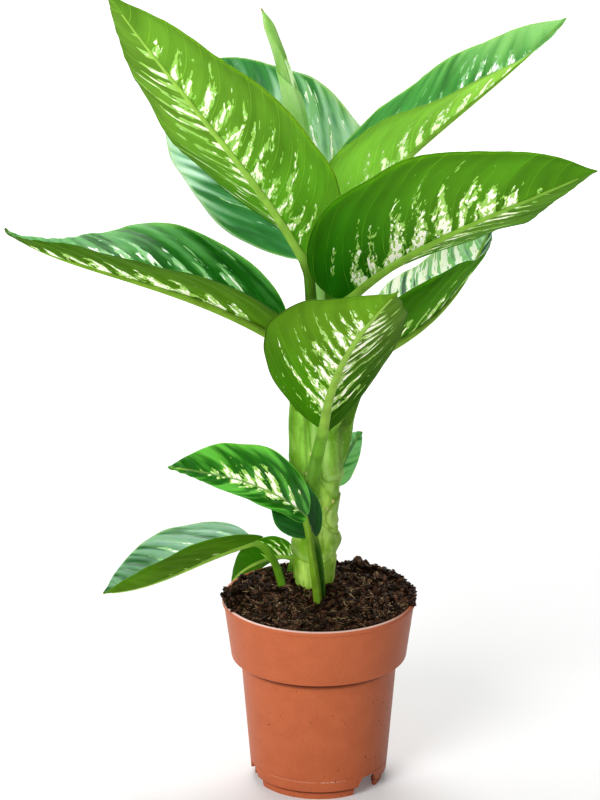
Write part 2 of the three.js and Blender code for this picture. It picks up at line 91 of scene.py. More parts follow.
def bezier_slope(points, t):
    p = np.array(points, float)
    t = np.asarray(t, float)[:, None]
    return (1 - t) ** 2 * (p[1] - p[0]) + 2 * (1 - t) * t * (p[2] - p[1]) + t**2 * (p[3] - p[2])


def value_noise(points, size, seed):
    """Smooth noise from -1 to 1 at each point, with lumps of the given size."""
    table = np.random.default_rng(seed).uniform(-1, 1, 4096)
    p = np.asarray(points, float) / size
    cell = np.floor(p).astype(np.int64)
    f = p - cell
    f = f * f * (3 - 2 * f)
    total = np.zeros(p.shape[:-1])
    for corner in np.ndindex(2, 2, 2):
        where = cell + np.array(corner)
        index = (where[..., 0] * 73 + where[..., 1] * 179 + where[..., 2] * 283) % 4096
        weight = np.prod(np.where(np.array(corner) == 1, f, 1 - f), axis=-1)
        total += table[index] * weight
    return total


# Meshes

def grid_faces(rows, columns, start=0, closed=False, flip=False):
    """The quads of a grid of points. Where it is closed, the last column joins the first."""
    i, j = np.meshgrid(np.arange(rows - 1), np.arange(columns if closed else columns - 1), indexing="ij")
    k = (j + 1) % columns
    quads = np.stack([i * columns + j, i * columns + k, (i + 1) * columns + k, (i + 1) * columns + j], -1)
    quads = quads.reshape(-1, 4) + start
    return (quads[:, ::-1] if flip else quads).tolist()


def loft(rings):
    """A closed surface through rings of points, with a flat face over each end."""
    rings = np.asarray(rings)
    rows, sides = rings.shape[:2]
    faces = grid_faces(rows, sides, closed=True)
    faces.append(list(range(sides))[::-1])
    faces.append(list(range((rows - 1) * sides, rows * sides)))
    return rings.reshape(-1, 3), faces


def add_mesh(
    name, points, faces, materials, attributes=None, face_materials=None, sharp=None, flat=False,
):
    """An object from points in millimetres. An edge is a crease from `sharp` degrees on."""
    mesh = bpy.data.meshes.new(name)
    mesh.from_pydata((np.asarray(points) * MM).tolist(), [], faces)
    mesh.polygons.foreach_set("use_smooth", [not flat] * len(mesh.polygons))
    for material in materials:
        mesh.materials.append(material)
    if face_materials is not None:
        mesh.polygons.foreach_set("material_index", np.asarray(face_materials, np.int32))
    for key, values in (attributes or {}).items():
        values = np.asarray(values, np.float32)
        if values.ndim == 1:
            mesh.attributes.new(key, "FLOAT", "POINT").data.foreach_set("value", values)
        else:
            mesh.attributes.new(key, "FLOAT_VECTOR", "POINT").data.foreach_set("vector", values.ravel())
    if sharp is not None:
        mesh.set_sharp_from_angle(angle=math.radians(sharp))
    mesh.update()
    obj = bpy.data.objects.new(name, mesh)
    bpy.context.scene.collection.objects.link(obj)
    return obj


def finish_piece(obj, slot, *nodes):
    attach(obj, "root")
    if nodes:
        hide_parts(*nodes)


# Materials

class Tree:
    """A material whose nodes are added one small step at a time."""

    def __init__(self, name):
        self.material = bpy.data.materials.new(name)
        self.material.use_nodes = True
        self.nodes = self.material.node_tree.nodes
        self.links = self.material.node_tree.links
        self.shader = self.nodes["Principled BSDF"]

    def plug(self, socket, value):
        if isinstance(value, bpy.types.NodeSocket):
            self.links.new(value, socket)
        else:
            socket.default_value = value

    def set(self, **values):
        for name, value in values.items():
            self.plug(self.shader.inputs[name.replace("_", " ")], value)

    def node(self, kind, inputs, **settings):
        """A new node with its settings, and with numbers, colours or links in its inputs."""
        node = self.nodes.new("ShaderNode" + kind)
        for name, value in settings.items():
            setattr(node, name, value)
        for key, value in inputs.items():
            self.plug(node.inputs[key], value)
        return node

    def math(self, operation, *values):
        return self.node("Math", dict(enumerate(values)), operation=operation).outputs[0]

    def plus(self, a, b):
        return self.math("ADD", a, b)

    def times(self, a, b):
        return self.math("MULTIPLY", a, b)

    def times_plus(self, a, b, c):
        """a times b, plus c."""
        return self.math("MULTIPLY_ADD", a, b, c)

    def ramp(self, value, low, high):
        """0 at low and 1 at high, smooth in between."""
        inputs = {"Value": value, "From Min": low, "From Max": high}
        return self.node("MapRange", inputs, interpolation_type="SMOOTHSTEP").outputs["Result"]

    def colour(self, factor, a, b):
        """From colour a, where the factor is 0, to colour b, where it is 1."""
        a, b = ((*c, 1) if isinstance(c, tuple) else c for c in (a, b))
        return self.node("Mix", {0: factor, 6: a, 7: b}, data_type="RGBA").outputs[2]

    def painted(self, colour, paint, mask, strength):
        """The colour with a paint of the given strength over it, where the mask is 1."""
        return self.colour(self.times(mask, strength), colour, paint)

    def scaled(self, colour, factor):
        return self.node("VectorMath", {0: colour, "Scale": factor}, operation="SCALE").outputs[0]

    def attribute(self, name, output="Vector"):
        return self.node("Attribute", {}, attribute_name=name).outputs[output]

    def position(self):
        return self.node("TexCoord", {}).outputs["Object"]

    def split(self, vector):
        return list(self.node("SeparateXYZ", {0: vector}).outputs)

    def joined(self, x, y):
        return self.node("CombineXYZ", {0: x, 1: y}).outputs[0]

    def stretch(self, vector, scale, offset=(0, 0, 0)):
        inputs = {0: vector, 1: scale, 2: offset}
        return self.node("VectorMath", inputs, operation="MULTIPLY_ADD").outputs[0]

    def noise(self, vector, scale, detail=2.0, roughness=0.5, distortion=0.0):
        inputs = {
            "Vector": vector, "Scale": scale, "Detail": detail, "Roughness": roughness,
            "Distortion": distortion,
        }
        return self.node("TexNoise", inputs).outputs[0]

    def bump(self, height, distance, strength=1.0):
        inputs = {"Strength": strength, "Distance": distance, "Height": height}
        self.set(Normal=self.node("Bump", inputs).outputs[0])

    def soften(self, weight, blue):
        """Light passes a little way through the surface: green the furthest, and blue this far."""
        self.set(Subsurface_Weight=weight, Subsurface_Scale=0.003)
        self.shader.inputs["Subsurface Radius"].default_value = (0.6, 1.0, blue)


# Leaves. The blade's form, from `petiole` to `wave`, repeats the table and formula of the part's source.
# Lengths are in millimetres and angles in degrees. `radius` and `roll` run from the foot to the tip. Other
# pairs are for the two halves of the blade, the one on the side of `across` first, except where two places
# are named here.
#   veins, ripple       distance between the main side veins, and how far the blade bulges between them
#   under, base         colour of the lower face, and of its foot where that is darker
#   light, halves       painted light and shade on the lower face: brightness at the blade's foot and tip, and on its two halves
#   upper, sheen_colour colour of the upper face, and of the pale painted sheen over it
#   sheen               share of the upper face that the painted sheen covers
#   bands, mottle       how far the painted sheen follows the side veins, and how far it is spotted
#   outward, tipward    how far the painted sheen grows towards the margin and towards the tip
#   gloss, coat         reflection of the upper face, and a clear coat over it
#   glow                painted light that the upper and the lower face give off
#   stalk, pale         colour of the petiole, and of the rib
#   cool                the upper face's splashes are bluish
# The cream splashes have a part of their own, `marks`: how much they `cover`, how far out they `reach` as a
# share of the half-width, the `span` along the rib from first to last, the `flames` from one side vein to
# the next, and how fine their `grain` is.

CREAM = (0.94, 0.95, 0.76)
COOL_CREAM = (0.9, 0.95, 0.85)
PALE_GREEN = (0.36, 0.6, 0.13)
COOL_GREEN = (0.3, 0.56, 0.28)
LEAF_DEFAULTS = dict(
    under=(0.05, 0.2, 0.006), light=(1, 1), halves=(1, 1), upper=(0.012, 0.11, 0.012),
    sheen_colour=(0.14, 0.34, 0.12), sheen=(0.3, 0.3), bands=0.26, mottle=1.5, outward=(0.35, 0.35),
    gloss=(0.3, 0.3), glow=(0, 0), stalk=(0.1, 0.26, 0.015), pale=(0.34, 0.62, 0.08), cool=False,
)
MARK_DEFAULTS = dict(flames=(1, 1), grain=(1, 1))
LEAVES = {
    "leaf_upper_left": dict(
        petiole=[[-5, 7, 372], [-7, 1, 410], [-5, -13, 446], [-11, -14, 481]],
        rib=[[-11, -14, 481], [-53, -11, 554], [-100, -68, 617], [-168, -88, 720]],
        sheath=0.2, radius=[6.5, 4.6], half=[66, 67], belly=0.33, taper=0.68, roll=[-32, -43],
        fold=[[22, 13], [15, 12]], curl=[10, 2], lobe=[0, 3], wave=[2.5, 3, 0.2],
        veins=21, ripple=0.5, under=(0.15, 0.3, 0.028), base=(0.1, 0.3, 0.012), light=(1.15, 0.8),
        marks=dict(cover=(0.16, 0.28), reach=(1.1, 0.66), span=(0.04, 0.95), flames=(1.2, 1),
                   grain=(0.7, 1)),
    ),
    "leaf_back_left": dict(
        petiole=[[3, 29, 372], [4, 40, 410], [8, 43, 448], [11, 48, 483]],
        rib=[[11, 48, 483], [-21, 91, 533], [-83, 106, 584], [-122, 150, 609]],
        sheath=0.2, radius=[6.5, 4.6], half=[87, 90], belly=0.39, taper=0.8, roll=[14, 25],
        fold=[[7, 9], [2, -2]], curl=[5, -8], lobe=[9, 20], wave=[2, 3, 0.6],
        veins=22, ripple=1.3, under=(0.07, 0.26, 0.006), sheen=(1.1, -0.1), cool=True,
        outward=(-0.55, 0.8), bands=0.15, tipward=(-1.3, 1.2), mottle=1.1, upper=(0.04, 0.19, 0.06),
        sheen_colour=(0.46, 0.72, 0.54),
        marks=dict(cover=(0.16, -0.02), reach=(1.6, 0.8), span=(0.0, 0.7), grain=(0.8, 0.85)),
    ),
    "leaf_upper_right": dict(
        petiole=[[11, 20, 372], [17, 22, 425], [15, 14, 466], [21, 18, 505]],
        rib=[[21, 18, 505], [67, 30, 567], [143, 5, 618], [203, 20, 678]],
        sheath=0.2, radius=[6.5, 4.6], half=[74, 73], belly=0.27, taper=0.74, roll=[9, -18],
        fold=[[53, 32], [33, 25]], curl=[-12, -2], lobe=[8, 11], wave=[1.5, 3, 0.1],
        # Its lower face is painted lighter than its own green, and glows, as painted light through the
        # blade.
        veins=22, ripple=0.4, under=(0.25, 0.48, 0.055), sheen=(0.3, 0.14), cool=True, glow=(0, 0.36),
        bands=0.05, tipward=(0, 1.2), outward=(0.3, 0.3), mottle=0.6, upper=(0.045, 0.22, 0.035),
        sheen_colour=(0.3, 0.62, 0.2),
        marks=dict(cover=(0.35, 0.5), reach=(0.5, 0.55), grain=(1, 1.25), span=(0.05, 0.93)),
    ),
    "leaf_right": dict(
        petiole=[[9, 9, 318], [12, 3, 365], [17, -4, 415], [20, -21, 446]],
        rib=[[20, -21, 446], [71, -54, 506], [133, -114, 544], [220, -101, 580]],
        sheath=0.35, radius=[8, 4.8], half=[94, 91], belly=0.42, taper=0.78, roll=[21, 52],
        fold=[[11, 18], [25, 15]], curl=[-1, 8], lobe=[0, 2], wave=[2, 3, 0.4],
        veins=24, ripple=0.6, under=(0.078, 0.205, 0.011), base=(0.015, 0.145, 0.002),
        pale=(0.2, 0.4, 0.04),
        marks=dict(cover=(0.32, 0.25), reach=(0.62, 0.7), span=(0.03, 0.9), flames=(1, 1.5),
                   grain=(1.1, 0.85)),
    ),
    "leaf_left": dict(
        petiole=[[-14, 14, 262], [-18, 8, 330], [-16, 6, 372], [-31, 0, 406]],
        rib=[[-31, 0, 406], [-122, -24, 470], [-217, -56, 483], [-264, -5, 503]],
        sheath=0.5, radius=[9.5, 5], half=[74, 76], belly=0.4, taper=0.85, roll=[15, -16],
        fold=[[49, 7], [45, 21]], curl=[-11, -12], lobe=[5, 16], wave=[2, 2, 0.5],
        veins=24, ripple=1.2, under=(0.06, 0.16, 0.004), sheen=(0.42, 0.3), light=(1.2, 0.7), cool=True,
        bands=0.08, tipward=(0.5, 0), mottle=1.7, gloss=(0.05, 0.05), upper=(0.012, 0.1, 0.01),
        sheen_colour=(0.13, 0.36, 0.12), pale=(0.2, 0.38, 0.03),
        marks=dict(cover=(0.36, 0.46), reach=(0.7, 0.36), span=(0.08, 0.95), grain=(0.72, 1.0)),
    ),
    "leaf_front": dict(
        petiole=[[-5, 8, 248], [-9, 0, 274], [-2, -22, 304], [3, -47, 340]],
        rib=[[3, -47, 340], [9, -86, 412], [31, -143, 457], [60, -190, 504]],
        sheath=0.16, radius=[6.5, 4.6], half=[69, 63], belly=0.38, taper=1.1, roll=[2, 12],
        fold=[[28, 25], [22, 14]], curl=[10, 14], lobe=[0, 7], wave=[1, 3, 0.3],
        veins=19, ripple=0.5, under=(0.095, 0.215, 0.01), base=(0.05, 0.2, 0.003), light=(0.75, 1.15),
        halves=(1.1, 0.7), stalk=(0.17, 0.42, 0.035), pale=(0.25, 0.44, 0.06),
        marks=dict(cover=(0.34, 0.32), reach=(0.64, 0.76), span=(0.02, 0.92), grain=(1.1, 0.85)),
    ),
    "leaf_back_right": dict(
        petiole=[[14, 18, 286], [20, 22, 320], [30, 20, 354], [51, 36, 384]],
        rib=[[51, 36, 384], [100, 72, 396], [131, 124, 412], [153, 152, 461]],
        sheath=0.4, radius=[8.5, 4.6], half=[58, 56], belly=0.35, taper=0.74, roll=[24, 0],
        fold=[[49, 35], [30, 30]], curl=[11, 0], lobe=[11, 8], wave=[1.5, 2, 0.2],
        veins=20, ripple=0.9, under=(0.05, 0.16, 0.006), sheen=(0.3, 0.6), cool=True,
        pale=(0.2, 0.38, 0.04), tipward=(0, 1.6), bands=0.5, upper=(0.006, 0.05, 0.02),
        sheen_colour=(0.5, 0.74, 0.55),
        marks=dict(cover=(0.1, 0.82), reach=(0.5, 1.7), span=(0.0, 0.95), grain=(1, 0.9)),
    ),
    "leaf_small_right": dict(
        petiole=[[2, 34, 226], [6, 44, 230], [10, 46, 244], [14, 47, 255]],
        rib=[[14, 47, 255], [18, 49, 270], [27, 50, 290], [37, 50, 304]],
        sheath=0.05, radius=[3, 2.4], half=[12, 16], belly=0.4, taper=0.66, roll=[-75, -75],
        fold=[[10, 10], [10, 10]], curl=[6, 6], lobe=[0, 0], wave=[0.6, 2, 0.1],
        veins=9, ripple=0.3, sheen=(0.8, 0.8), upper=(0.03, 0.2, 0.07), sheen_colour=(0.34, 0.6, 0.42),
        mottle=2.6,
        marks=dict(cover=(-2, -2), reach=(0.4, 0.4), span=(0.2, 0.8)),
    ),
    "offshoot_leaf_front": dict(
        petiole=[[2, -13, 124], [1, -13, 180], [-8, -26, 222], [-11, -34, 255]],
        rib=[[-11, -34, 255], [-42, -37, 290], [-83, -55, 300], [-126, -65, 313]],
        sheath=0, radius=[5, 2.8], half=[40, 40], belly=0.4, taper=0.87, roll=[31, 24],
        fold=[[16, 14], [17, 16]], curl=[5, 8], lobe=[0, 0], wave=[1, 3, 0.2],
        veins=13, ripple=1.1, bands=0.1, mottle=2.8, gloss=(0.5, 0.06), coat=(0.8, 0), glow=(0.3, 0),
        stalk=(0.2, 0.4, 0.02), upper=(0.006, 0.1, 0.001), sheen_colour=(0.12, 0.46, 0.05),
        marks=dict(cover=(0.52, 0.46), reach=(0.42, 0.32), span=(0.02, 0.85), flames=(0.8, 1)),
    ),
    "offshoot_leaf_round": dict(
        petiole=[[3, -2, 130], [3, -3, 172], [3, -10, 206], [-4, -19, 232]],
        rib=[[-4, -19, 232], [-14, -12, 253], [-28, -7, 273], [-49, -14, 284]],
        sheath=0, radius=[3.4, 2.4], half=[22, 25], belly=0.39, taper=0.91, roll=[79, 71],
        fold=[[16, 13], [14, 15]], curl=[12, 11], lobe=[1, 0], wave=[0.6, 2, 0.3],
        veins=11, ripple=0.4, sheen=(0.1, 0.1), bands=0.1, gloss=(0.15, 0.15), stalk=(0.05, 0.19, 0.015),
        upper=(0.004, 0.05, 0.003), sheen_colour=(0.02, 0.12, 0.03),
        marks=dict(cover=(-0.2, -0.3), reach=(0.6, 0.5), span=(0.02, 0.4)),
    ),
    "offshoot_leaf_lower_left": dict(
        petiole=[[-26, 18, 128], [-31, 21, 178], [-38, 20, 206], [-58, 20, 213]],
        rib=[[-58, 20, 213], [-104, 20, 199], [-142, 4, 173], [-186, -11, 177]],
        sheath=0, radius=[5, 3], half=[46, 45], belly=0.45, taper=0.73, roll=[-4, -5],
        fold=[[32, 40], [34, 43]], curl=[1, 6], lobe=[0, 12], wave=[1, 2, 0.2],
        veins=15, ripple=0.9, under=(0.08, 0.19, 0.008), sheen=(0.5, 0.3), cool=True,
        stalk=(0.14, 0.36, 0.015), bands=0.16, tipward=(-0.3, 0), mottle=2.4, upper=(0.02, 0.11, 0.035),
        sheen_colour=(0.24, 0.41, 0.3),
        marks=dict(cover=(0.3, -0.1), reach=(0.75, 0.3), span=(0.05, 0.8), flames=(0.8, 1), grain=(0.8, 1)),
    ),
    "offshoot_leaf_behind": dict(
        petiole=[[-30, 44, 128], [-29, 42, 165], [-24, 43, 183], [-22, 52, 184]],
        rib=[[-22, 52, 184], [-28, 68, 186], [-68, 61, 178], [-78, 102, 141]],
        sheath=0, radius=[4, 2.6], half=[15, 20], belly=0.45, taper=0.75, roll=[-70, -72],
        fold=[[45, 45], [16, 16]], curl=[2, 6], lobe=[0, 3], wave=[0.6, 2, 0.4],
        veins=12, ripple=0.4, under=(0.045, 0.17, 0.004), sheen=(0.2, 0.2),
        marks=dict(cover=(0.5, 0.5), reach=(0.9, 0.8), span=(0.0, 0.6), flames=(1.5, 1.5)),
    ),
}
# How far the upper face lies below the formula's surface, and the thickness inside and at the margin
BLADE_TOP = 0.1
BLADE_THICKNESS = 0.6
MARGIN_THICKNESS = 0.22
# Where along the rib the tip is drawn out, and where it ends
TIP_START = 0.965
TIP_END = 1.02
# How finely a blade and its stalk are divided, and how much its margin wanders and frills. A blade less
# than SMALL_WIDTH wide on either half is a small one.
SMALL_WIDTH = 50
LARGE = dict(rows=170, half_columns=30, wander=1.8, frill=0.45, sides=24, rib_rows=60, stalk_rows=34)
SMALL = dict(rows=90, half_columns=16, wander=0.5, frill=0.15, sides=16, rib_rows=30, stalk_rows=22)
# The side veins of one half lie between those of the other, and start elsewhere on each leaf.
VEIN_STAGGER = 0.45
VEIN_SHIFT = 0.37
for leaf_looks in LEAVES.values():
    leaf_looks.update({**LEAF_DEFAULTS, **leaf_looks})
    leaf_looks["marks"] = {**MARK_DEFAULTS, **leaf_looks["marks"]}
    leaf_looks["detail"] = SMALL if max(leaf_looks["half"]) < SMALL_WIDTH else LARGE


def blade_profile(t, belly, taper):
    """The blade's half-width along the rib, as a share of its greatest, drawn out to a point at the tip."""
    rise = taper * belly / (1 - belly)
    body = np.minimum(t, TIP_START)
    width = body**rise * (1 - body) ** taper / (belly**rise * (1 - belly) ** taper)
    left = np.clip((TIP_END - t) / (TIP_END - TIP_START), 0.02, 1)
    return width * left ** (taper * (TIP_END - TIP_START) / (1 - TIP_START))


def rib_frame(leaf, t):
    """The rib's points, and the directions along it, across the blade and out of its upper face."""
    along = unit(bezier_slope(leaf["rib"], t))
    level = unit(triples(along[:, 1], -along[:, 0], 0))
    above = np.cross(level, along)
    roll = np.radians(mix(*leaf["roll"], t))[:, None]
    across = level * np.cos(roll) + above * np.sin(roll)
    return bezier(leaf["rib"], t), along, across, np.cross(across, along)


def blade_points(leaf, t, s):
    """The blade's upper face: a row for each t along the rib, a column for each s from -1 to 1 across."""
    point, along, across, normal = (v[:, None, :] for v in rib_frame(leaf, t))
    t = t[:, None]
    side = np.where(s >= 0, 0, 1)[None, :]
    out = np.abs(s)[None, :]

    def per_side(values):
        return np.array(values, float)[side]

    fold = np.radians(mix(per_side(leaf["fold"])[..., 0], per_side(leaf["fold"])[..., 1], t))
    bend = np.radians(per_side(leaf["curl"])) * out / 2
    width = per_side(leaf["half"]) * blade_profile(t, leaf["belly"], leaf["taper"])
    reach = width * out * np.sinc(bend / math.pi)
    height, count, phase = leaf["wave"]
    wave = height * out**2 * np.sin(2 * math.pi * (count * t + phase + side / 3)) * np.sin(math.pi * t)
    back = per_side(leaf["lobe"]) * out**1.5 * (1 - t) ** 5
    points = (
        point
        + across * (np.sign(s)[None, :] * reach * np.cos(fold + bend))[..., None]
        + normal * (reach * np.sin(fold + bend) + wave)[..., None]
        - along * back[..., None]
    )
    return points, width + 0 * out


def grid_normals(points):
    """Unit normals of a grid of blade points, out of the upper face."""
    down = np.gradient(points, axis=0)
    over = np.gradient(points, axis=1)
    return unit(np.cross(over, down))


def blade_mesh(leaf, seed):
    """The blade as one closed surface, with what its material reads at each point."""
    detail = leaf["detail"]
    rows, half_columns = detail["rows"], detail["half_columns"]
    t = mix(0.006, TIP_END - 0.002, (np.arange(rows) / (rows - 1)) ** 1.12)
    s = np.sin(np.linspace(-1, 1, 2 * half_columns + 1) * math.pi / 2.15) / math.sin(math.pi / 2.15)
    points, width = blade_points(leaf, t, s)
    normals = grid_normals(points)
    t = t[:, None]
    half = np.sign(s)[None, :]
    out = np.abs(s)[None, :]
    wander = value_noise(triples(9 * t, half, 0), 1, seed + 80)
    wander = wander * smooth(out, 0.5, 1.0) * np.sin(math.pi * np.clip(t, 0, 1)) * detail["wander"]
    points = points + unit(np.gradient(points, axis=1)) * (half * wander)[..., None]
    rib_length = np.linalg.norm(np.diff(bezier(leaf["rib"], np.linspace(0, 1, 60)), axis=0), axis=1).sum()
    root = t * rib_length - width * (0.75 * out + 0.5 * out**3)
    side = np.where(s >= 0, 0.0, VEIN_STAGGER)[None, :]
    beat = root / leaf["veins"] + side + seed * VEIN_SHIFT
    inner = smooth(out, 0.03, 0.3) * (1 - smooth(out, 0.75, 1.0)) * smooth(t, 0, 0.1)
    spread = triples(root, out * width, side)
    lift = -leaf["ripple"] * inner * np.abs(np.cos(math.pi * beat)) ** 3
    lift += 0.8 * leaf["ripple"] * value_noise(spread, 19, seed)
    frill = value_noise(spread, 9, seed + 50) * smooth(out, 0.7, 1.0)
    points = points + normals * (lift + detail["frill"] * frill)[..., None]
    thickness = mix(BLADE_THICKNESS, MARGIN_THICKNESS, smooth(out, 0.9, 1.0))[..., None]
    normals = grid_normals(points)
    upper = points - normals * BLADE_TOP
    lower = upper - normals * thickness

    columns = len(s)
    count = rows * columns
    faces = grid_faces(rows, columns) + grid_faces(rows, columns, start=count, flip=True)
    edge = list(range(columns - 1))
    edge += [i * columns + columns - 1 for i in range(rows - 1)]
    edge += [(rows - 1) * columns + j for j in range(columns - 1, 0, -1)]
    edge += [i * columns for i in range(rows - 1, 0, -1)]
    faces += [[b, a, a + count, b + count] for a, b in zip(edge, edge[1:] + edge[:1])]

    vein = triples(root / 10, half * out * width / 10, 0)
    sides = [[upper, lower], [vein, vein], [triples(out, t, 0), triples(out, t, 1)]]
    points, vein, place = (np.array(pair).reshape(-1, 3) for pair in sides)
    return points, faces, vein, place


def stalk_rings(leaf):
    """Rings of the petiole, with its shallow channel, and of the rib that carries it on under the blade."""
    detail = leaf["detail"]
    sides = detail["sides"]
    angle = once_round(sides)
    ribs = np.linspace(0, 0.96, detail["rib_rows"])
    point, _, across, normal = rib_frame(leaf, ribs)
    radius = mix(leaf["radius"][1], 0.7, ribs**0.9)
    below = 0.55 * radius
    rings = []
    for i in range(len(ribs)):
        upward = mix(1.0, (below[i] + 0.12) / radius[i], smooth(ribs[i], 0.0, 0.06))
        high = np.where(np.sin(angle) > 0, upward, 1.0) * radius[i] * np.sin(angle)
        rings.append(
            point[i]
            + across[i] * (radius[i] * np.cos(angle))[:, None]
            + normal[i] * (high - below[i])[:, None]
        )
    steps = np.linspace(1, socket_start(leaf), detail["stalk_rows"])
    centre = bezier(leaf["petiole"], steps) - normal[0] * below[0] * smooth(steps, 0.85, 1.0)[:, None]
    slope = unit(bezier_slope(leaf["petiole"], steps))
    over = across[0]
    lower = []
    for i in range(1, len(steps)):
        over = unit(over - slope[i] * np.dot(over, slope[i]))
        up = np.cross(over, slope[i])
        r = mix(*leaf["radius"], steps[i])
        channel = 1 - 0.16 * bell(angle, math.pi / 2, 0.45) * smooth(1 - steps[i], 0.02, 0.2)
        lower.append(
            centre[i]
            + over * (1.06 * r * channel * np.cos(angle))[:, None]
            + up * (0.95 * r * channel * np.sin(angle))[:, None]
        )
    return np.array(lower[::-1] + rings), len(lower)


def socket_start(leaf):
    """How far down its own length a petiole is seated."""
    return leaf["sheath"] * 0.6 if leaf["sheath"] > 0 else 0.0


class BladeTree(Tree):
    """The material of one blade, with what it reads at each point of the mesh."""

    def __init__(self, name, leaf, seed):
        super().__init__(name + "_blade")
        self.seed = seed
        self.vein = self.attribute("vein")
        self.along, self.off_rib, _ = self.split(self.vein)
        self.out, self.t, self.under = self.split(self.attribute("place"))
        self.other_half = self.math("LESS_THAN", self.off_rib, 0.0)
        beat = self.plus(self.math("DIVIDE", self.along, leaf["veins"] / 10), seed * VEIN_SHIFT)
        self.beat = self.times_plus(self.other_half, VEIN_STAGGER, beat)
        self.tone = self.own_noise(self.vein, (0.5, 0.3), 3.1, 3)
        self.shade = self.ramp(self.tone, 0.3, 0.7)

    def per_half(self, values):
        return self.times_plus(self.other_half, values[1] - values[0], values[0])

    def own_noise(self, vector, scale, offset, *settings, row=0):
        """Noise over a vector, in another place for each leaf."""
        place = self.stretch(vector, (*scale, 1), (self.seed * offset, row, 0))
        return self.noise(place, 1.0, *settings)

    def centred(self, value, amount):
        """A noise value, turned into a number on both sides of 0."""
        return self.times_plus(value, amount, -0.5 * amount)

    def wave(self, turns, shift):
        return self.math("COSINE", self.times(self.plus(turns, shift), 2 * math.pi))

    def vein_lines(self, times, width):
        part = self.math("SUBTRACT", self.math("FRACT", self.times(self.beat, times)), 0.5)
        return self.ramp(self.math("ABSOLUTE", part), 0.5 - width, 0.5)


def upper_green(tree, leaf):
    """Dark green, with a painted sheen that follows the side veins, the margin and the tip."""
    mottle = tree.centred(tree.tone, leaf["mottle"])
    bands = tree.times_plus(tree.wave(tree.beat, 0.4), leaf["bands"], mottle)
    bands = tree.times_plus(tree.out, tree.per_half(leaf["outward"]), bands)
    bands = tree.plus(bands, tree.per_half([0.9 * (share - 0.5) for share in leaf["sheen"]]))
    if "tipward" in leaf:
        bands = tree.times_plus(tree.math("SUBTRACT", tree.t, 0.5), tree.per_half(leaf["tipward"]), bands)
    green = tree.colour(tree.shade, dimmed(leaf["upper"], 0.75), dimmed(leaf["upper"], 1.4))
    # The pale colour laid over the dark green is painted sheen, a painted reflection of the light.
    return tree.colour(tree.ramp(bands, -0.15, 0.5), green, leaf["sheen_colour"])


def lower_green(tree, leaf):
    """The lower face's green, with painted light and shade from the table, and painted shade at the margin.
    """
    green = leaf["under"]
    if "base" in leaf:
        green = tree.colour(tree.ramp(tree.t, 0.05, 0.65), leaf["base"], green)
    broad = tree.centred(tree.own_noise(tree.vein, (0.22, 0.16), 9.1, 2, row=3), 1.3)
    green = tree.scaled(green, tree.plus(tree.times_plus(tree.shade, 0.2, 0.92), broad))
    # Painted light and shade: brighter or darker towards the foot and the tip, and on each half
    at_foot, at_tip = leaf["light"]
    bright = tree.times_plus(tree.t, at_tip - at_foot, at_foot)
    green = tree.scaled(green, tree.times(bright, tree.per_half(leaf["halves"])))
    # Painted shade towards the margin
    return tree.painted(green, dimmed(leaf["under"], 0.4), tree.ramp(tree.out, 0.7, 1.0), 0.4)


def splashes(tree, marks):
    """Masks of the splashes with their rims, and of the cream in them: ragged flames along the rib."""
    wobble = tree.centred(tree.own_noise(tree.vein, (0.3, 0.25), 1.7, 2), 1.6)
    flames = tree.plus(tree.times(tree.beat, tree.per_half(marks["flames"])), wobble)
    grain = tree.per_half(marks["grain"])
    spread = tree.joined(
        tree.times(tree.along, grain), tree.times(tree.off_rib, tree.times(grain, grain)),
    )
    length = tree.own_noise(tree.vein, (0.6, 0.05), 7.7, 1)
    ragged = tree.own_noise(spread, (1.7, 0.95), 5.3, 3, 0.5, 0.9)
    lumps = tree.own_noise(spread, (3.4, 2.2), 2.9, 1)
    patches = tree.own_noise(spread, (2.5, 1.6), 4.3, 2, row=5)
    first, last = marks["span"]
    window = tree.times(tree.ramp(tree.t, first, first + 0.1), tree.ramp(tree.t, last, last - 0.2))
    field = tree.times_plus(tree.wave(flames, 0.5), 0.42, tree.centred(length, 1.2))
    field = tree.plus(field, tree.centred(ragged, 2.4))
    field = tree.plus(field, tree.centred(lumps, 0.8))
    field = tree.times_plus(tree.math("DIVIDE", tree.out, tree.per_half(marks["reach"])), -0.9, field)
    field = tree.plus(field, tree.plus(tree.per_half(marks["cover"]), -1.0))
    field = tree.plus(field, window)
    pale = tree.ramp(field, 0.0, 0.03)
    core = tree.ramp(tree.plus(field, tree.centred(patches, 2.6)), 0.4, 0.44)
    return pale, tree.times(core, pale)


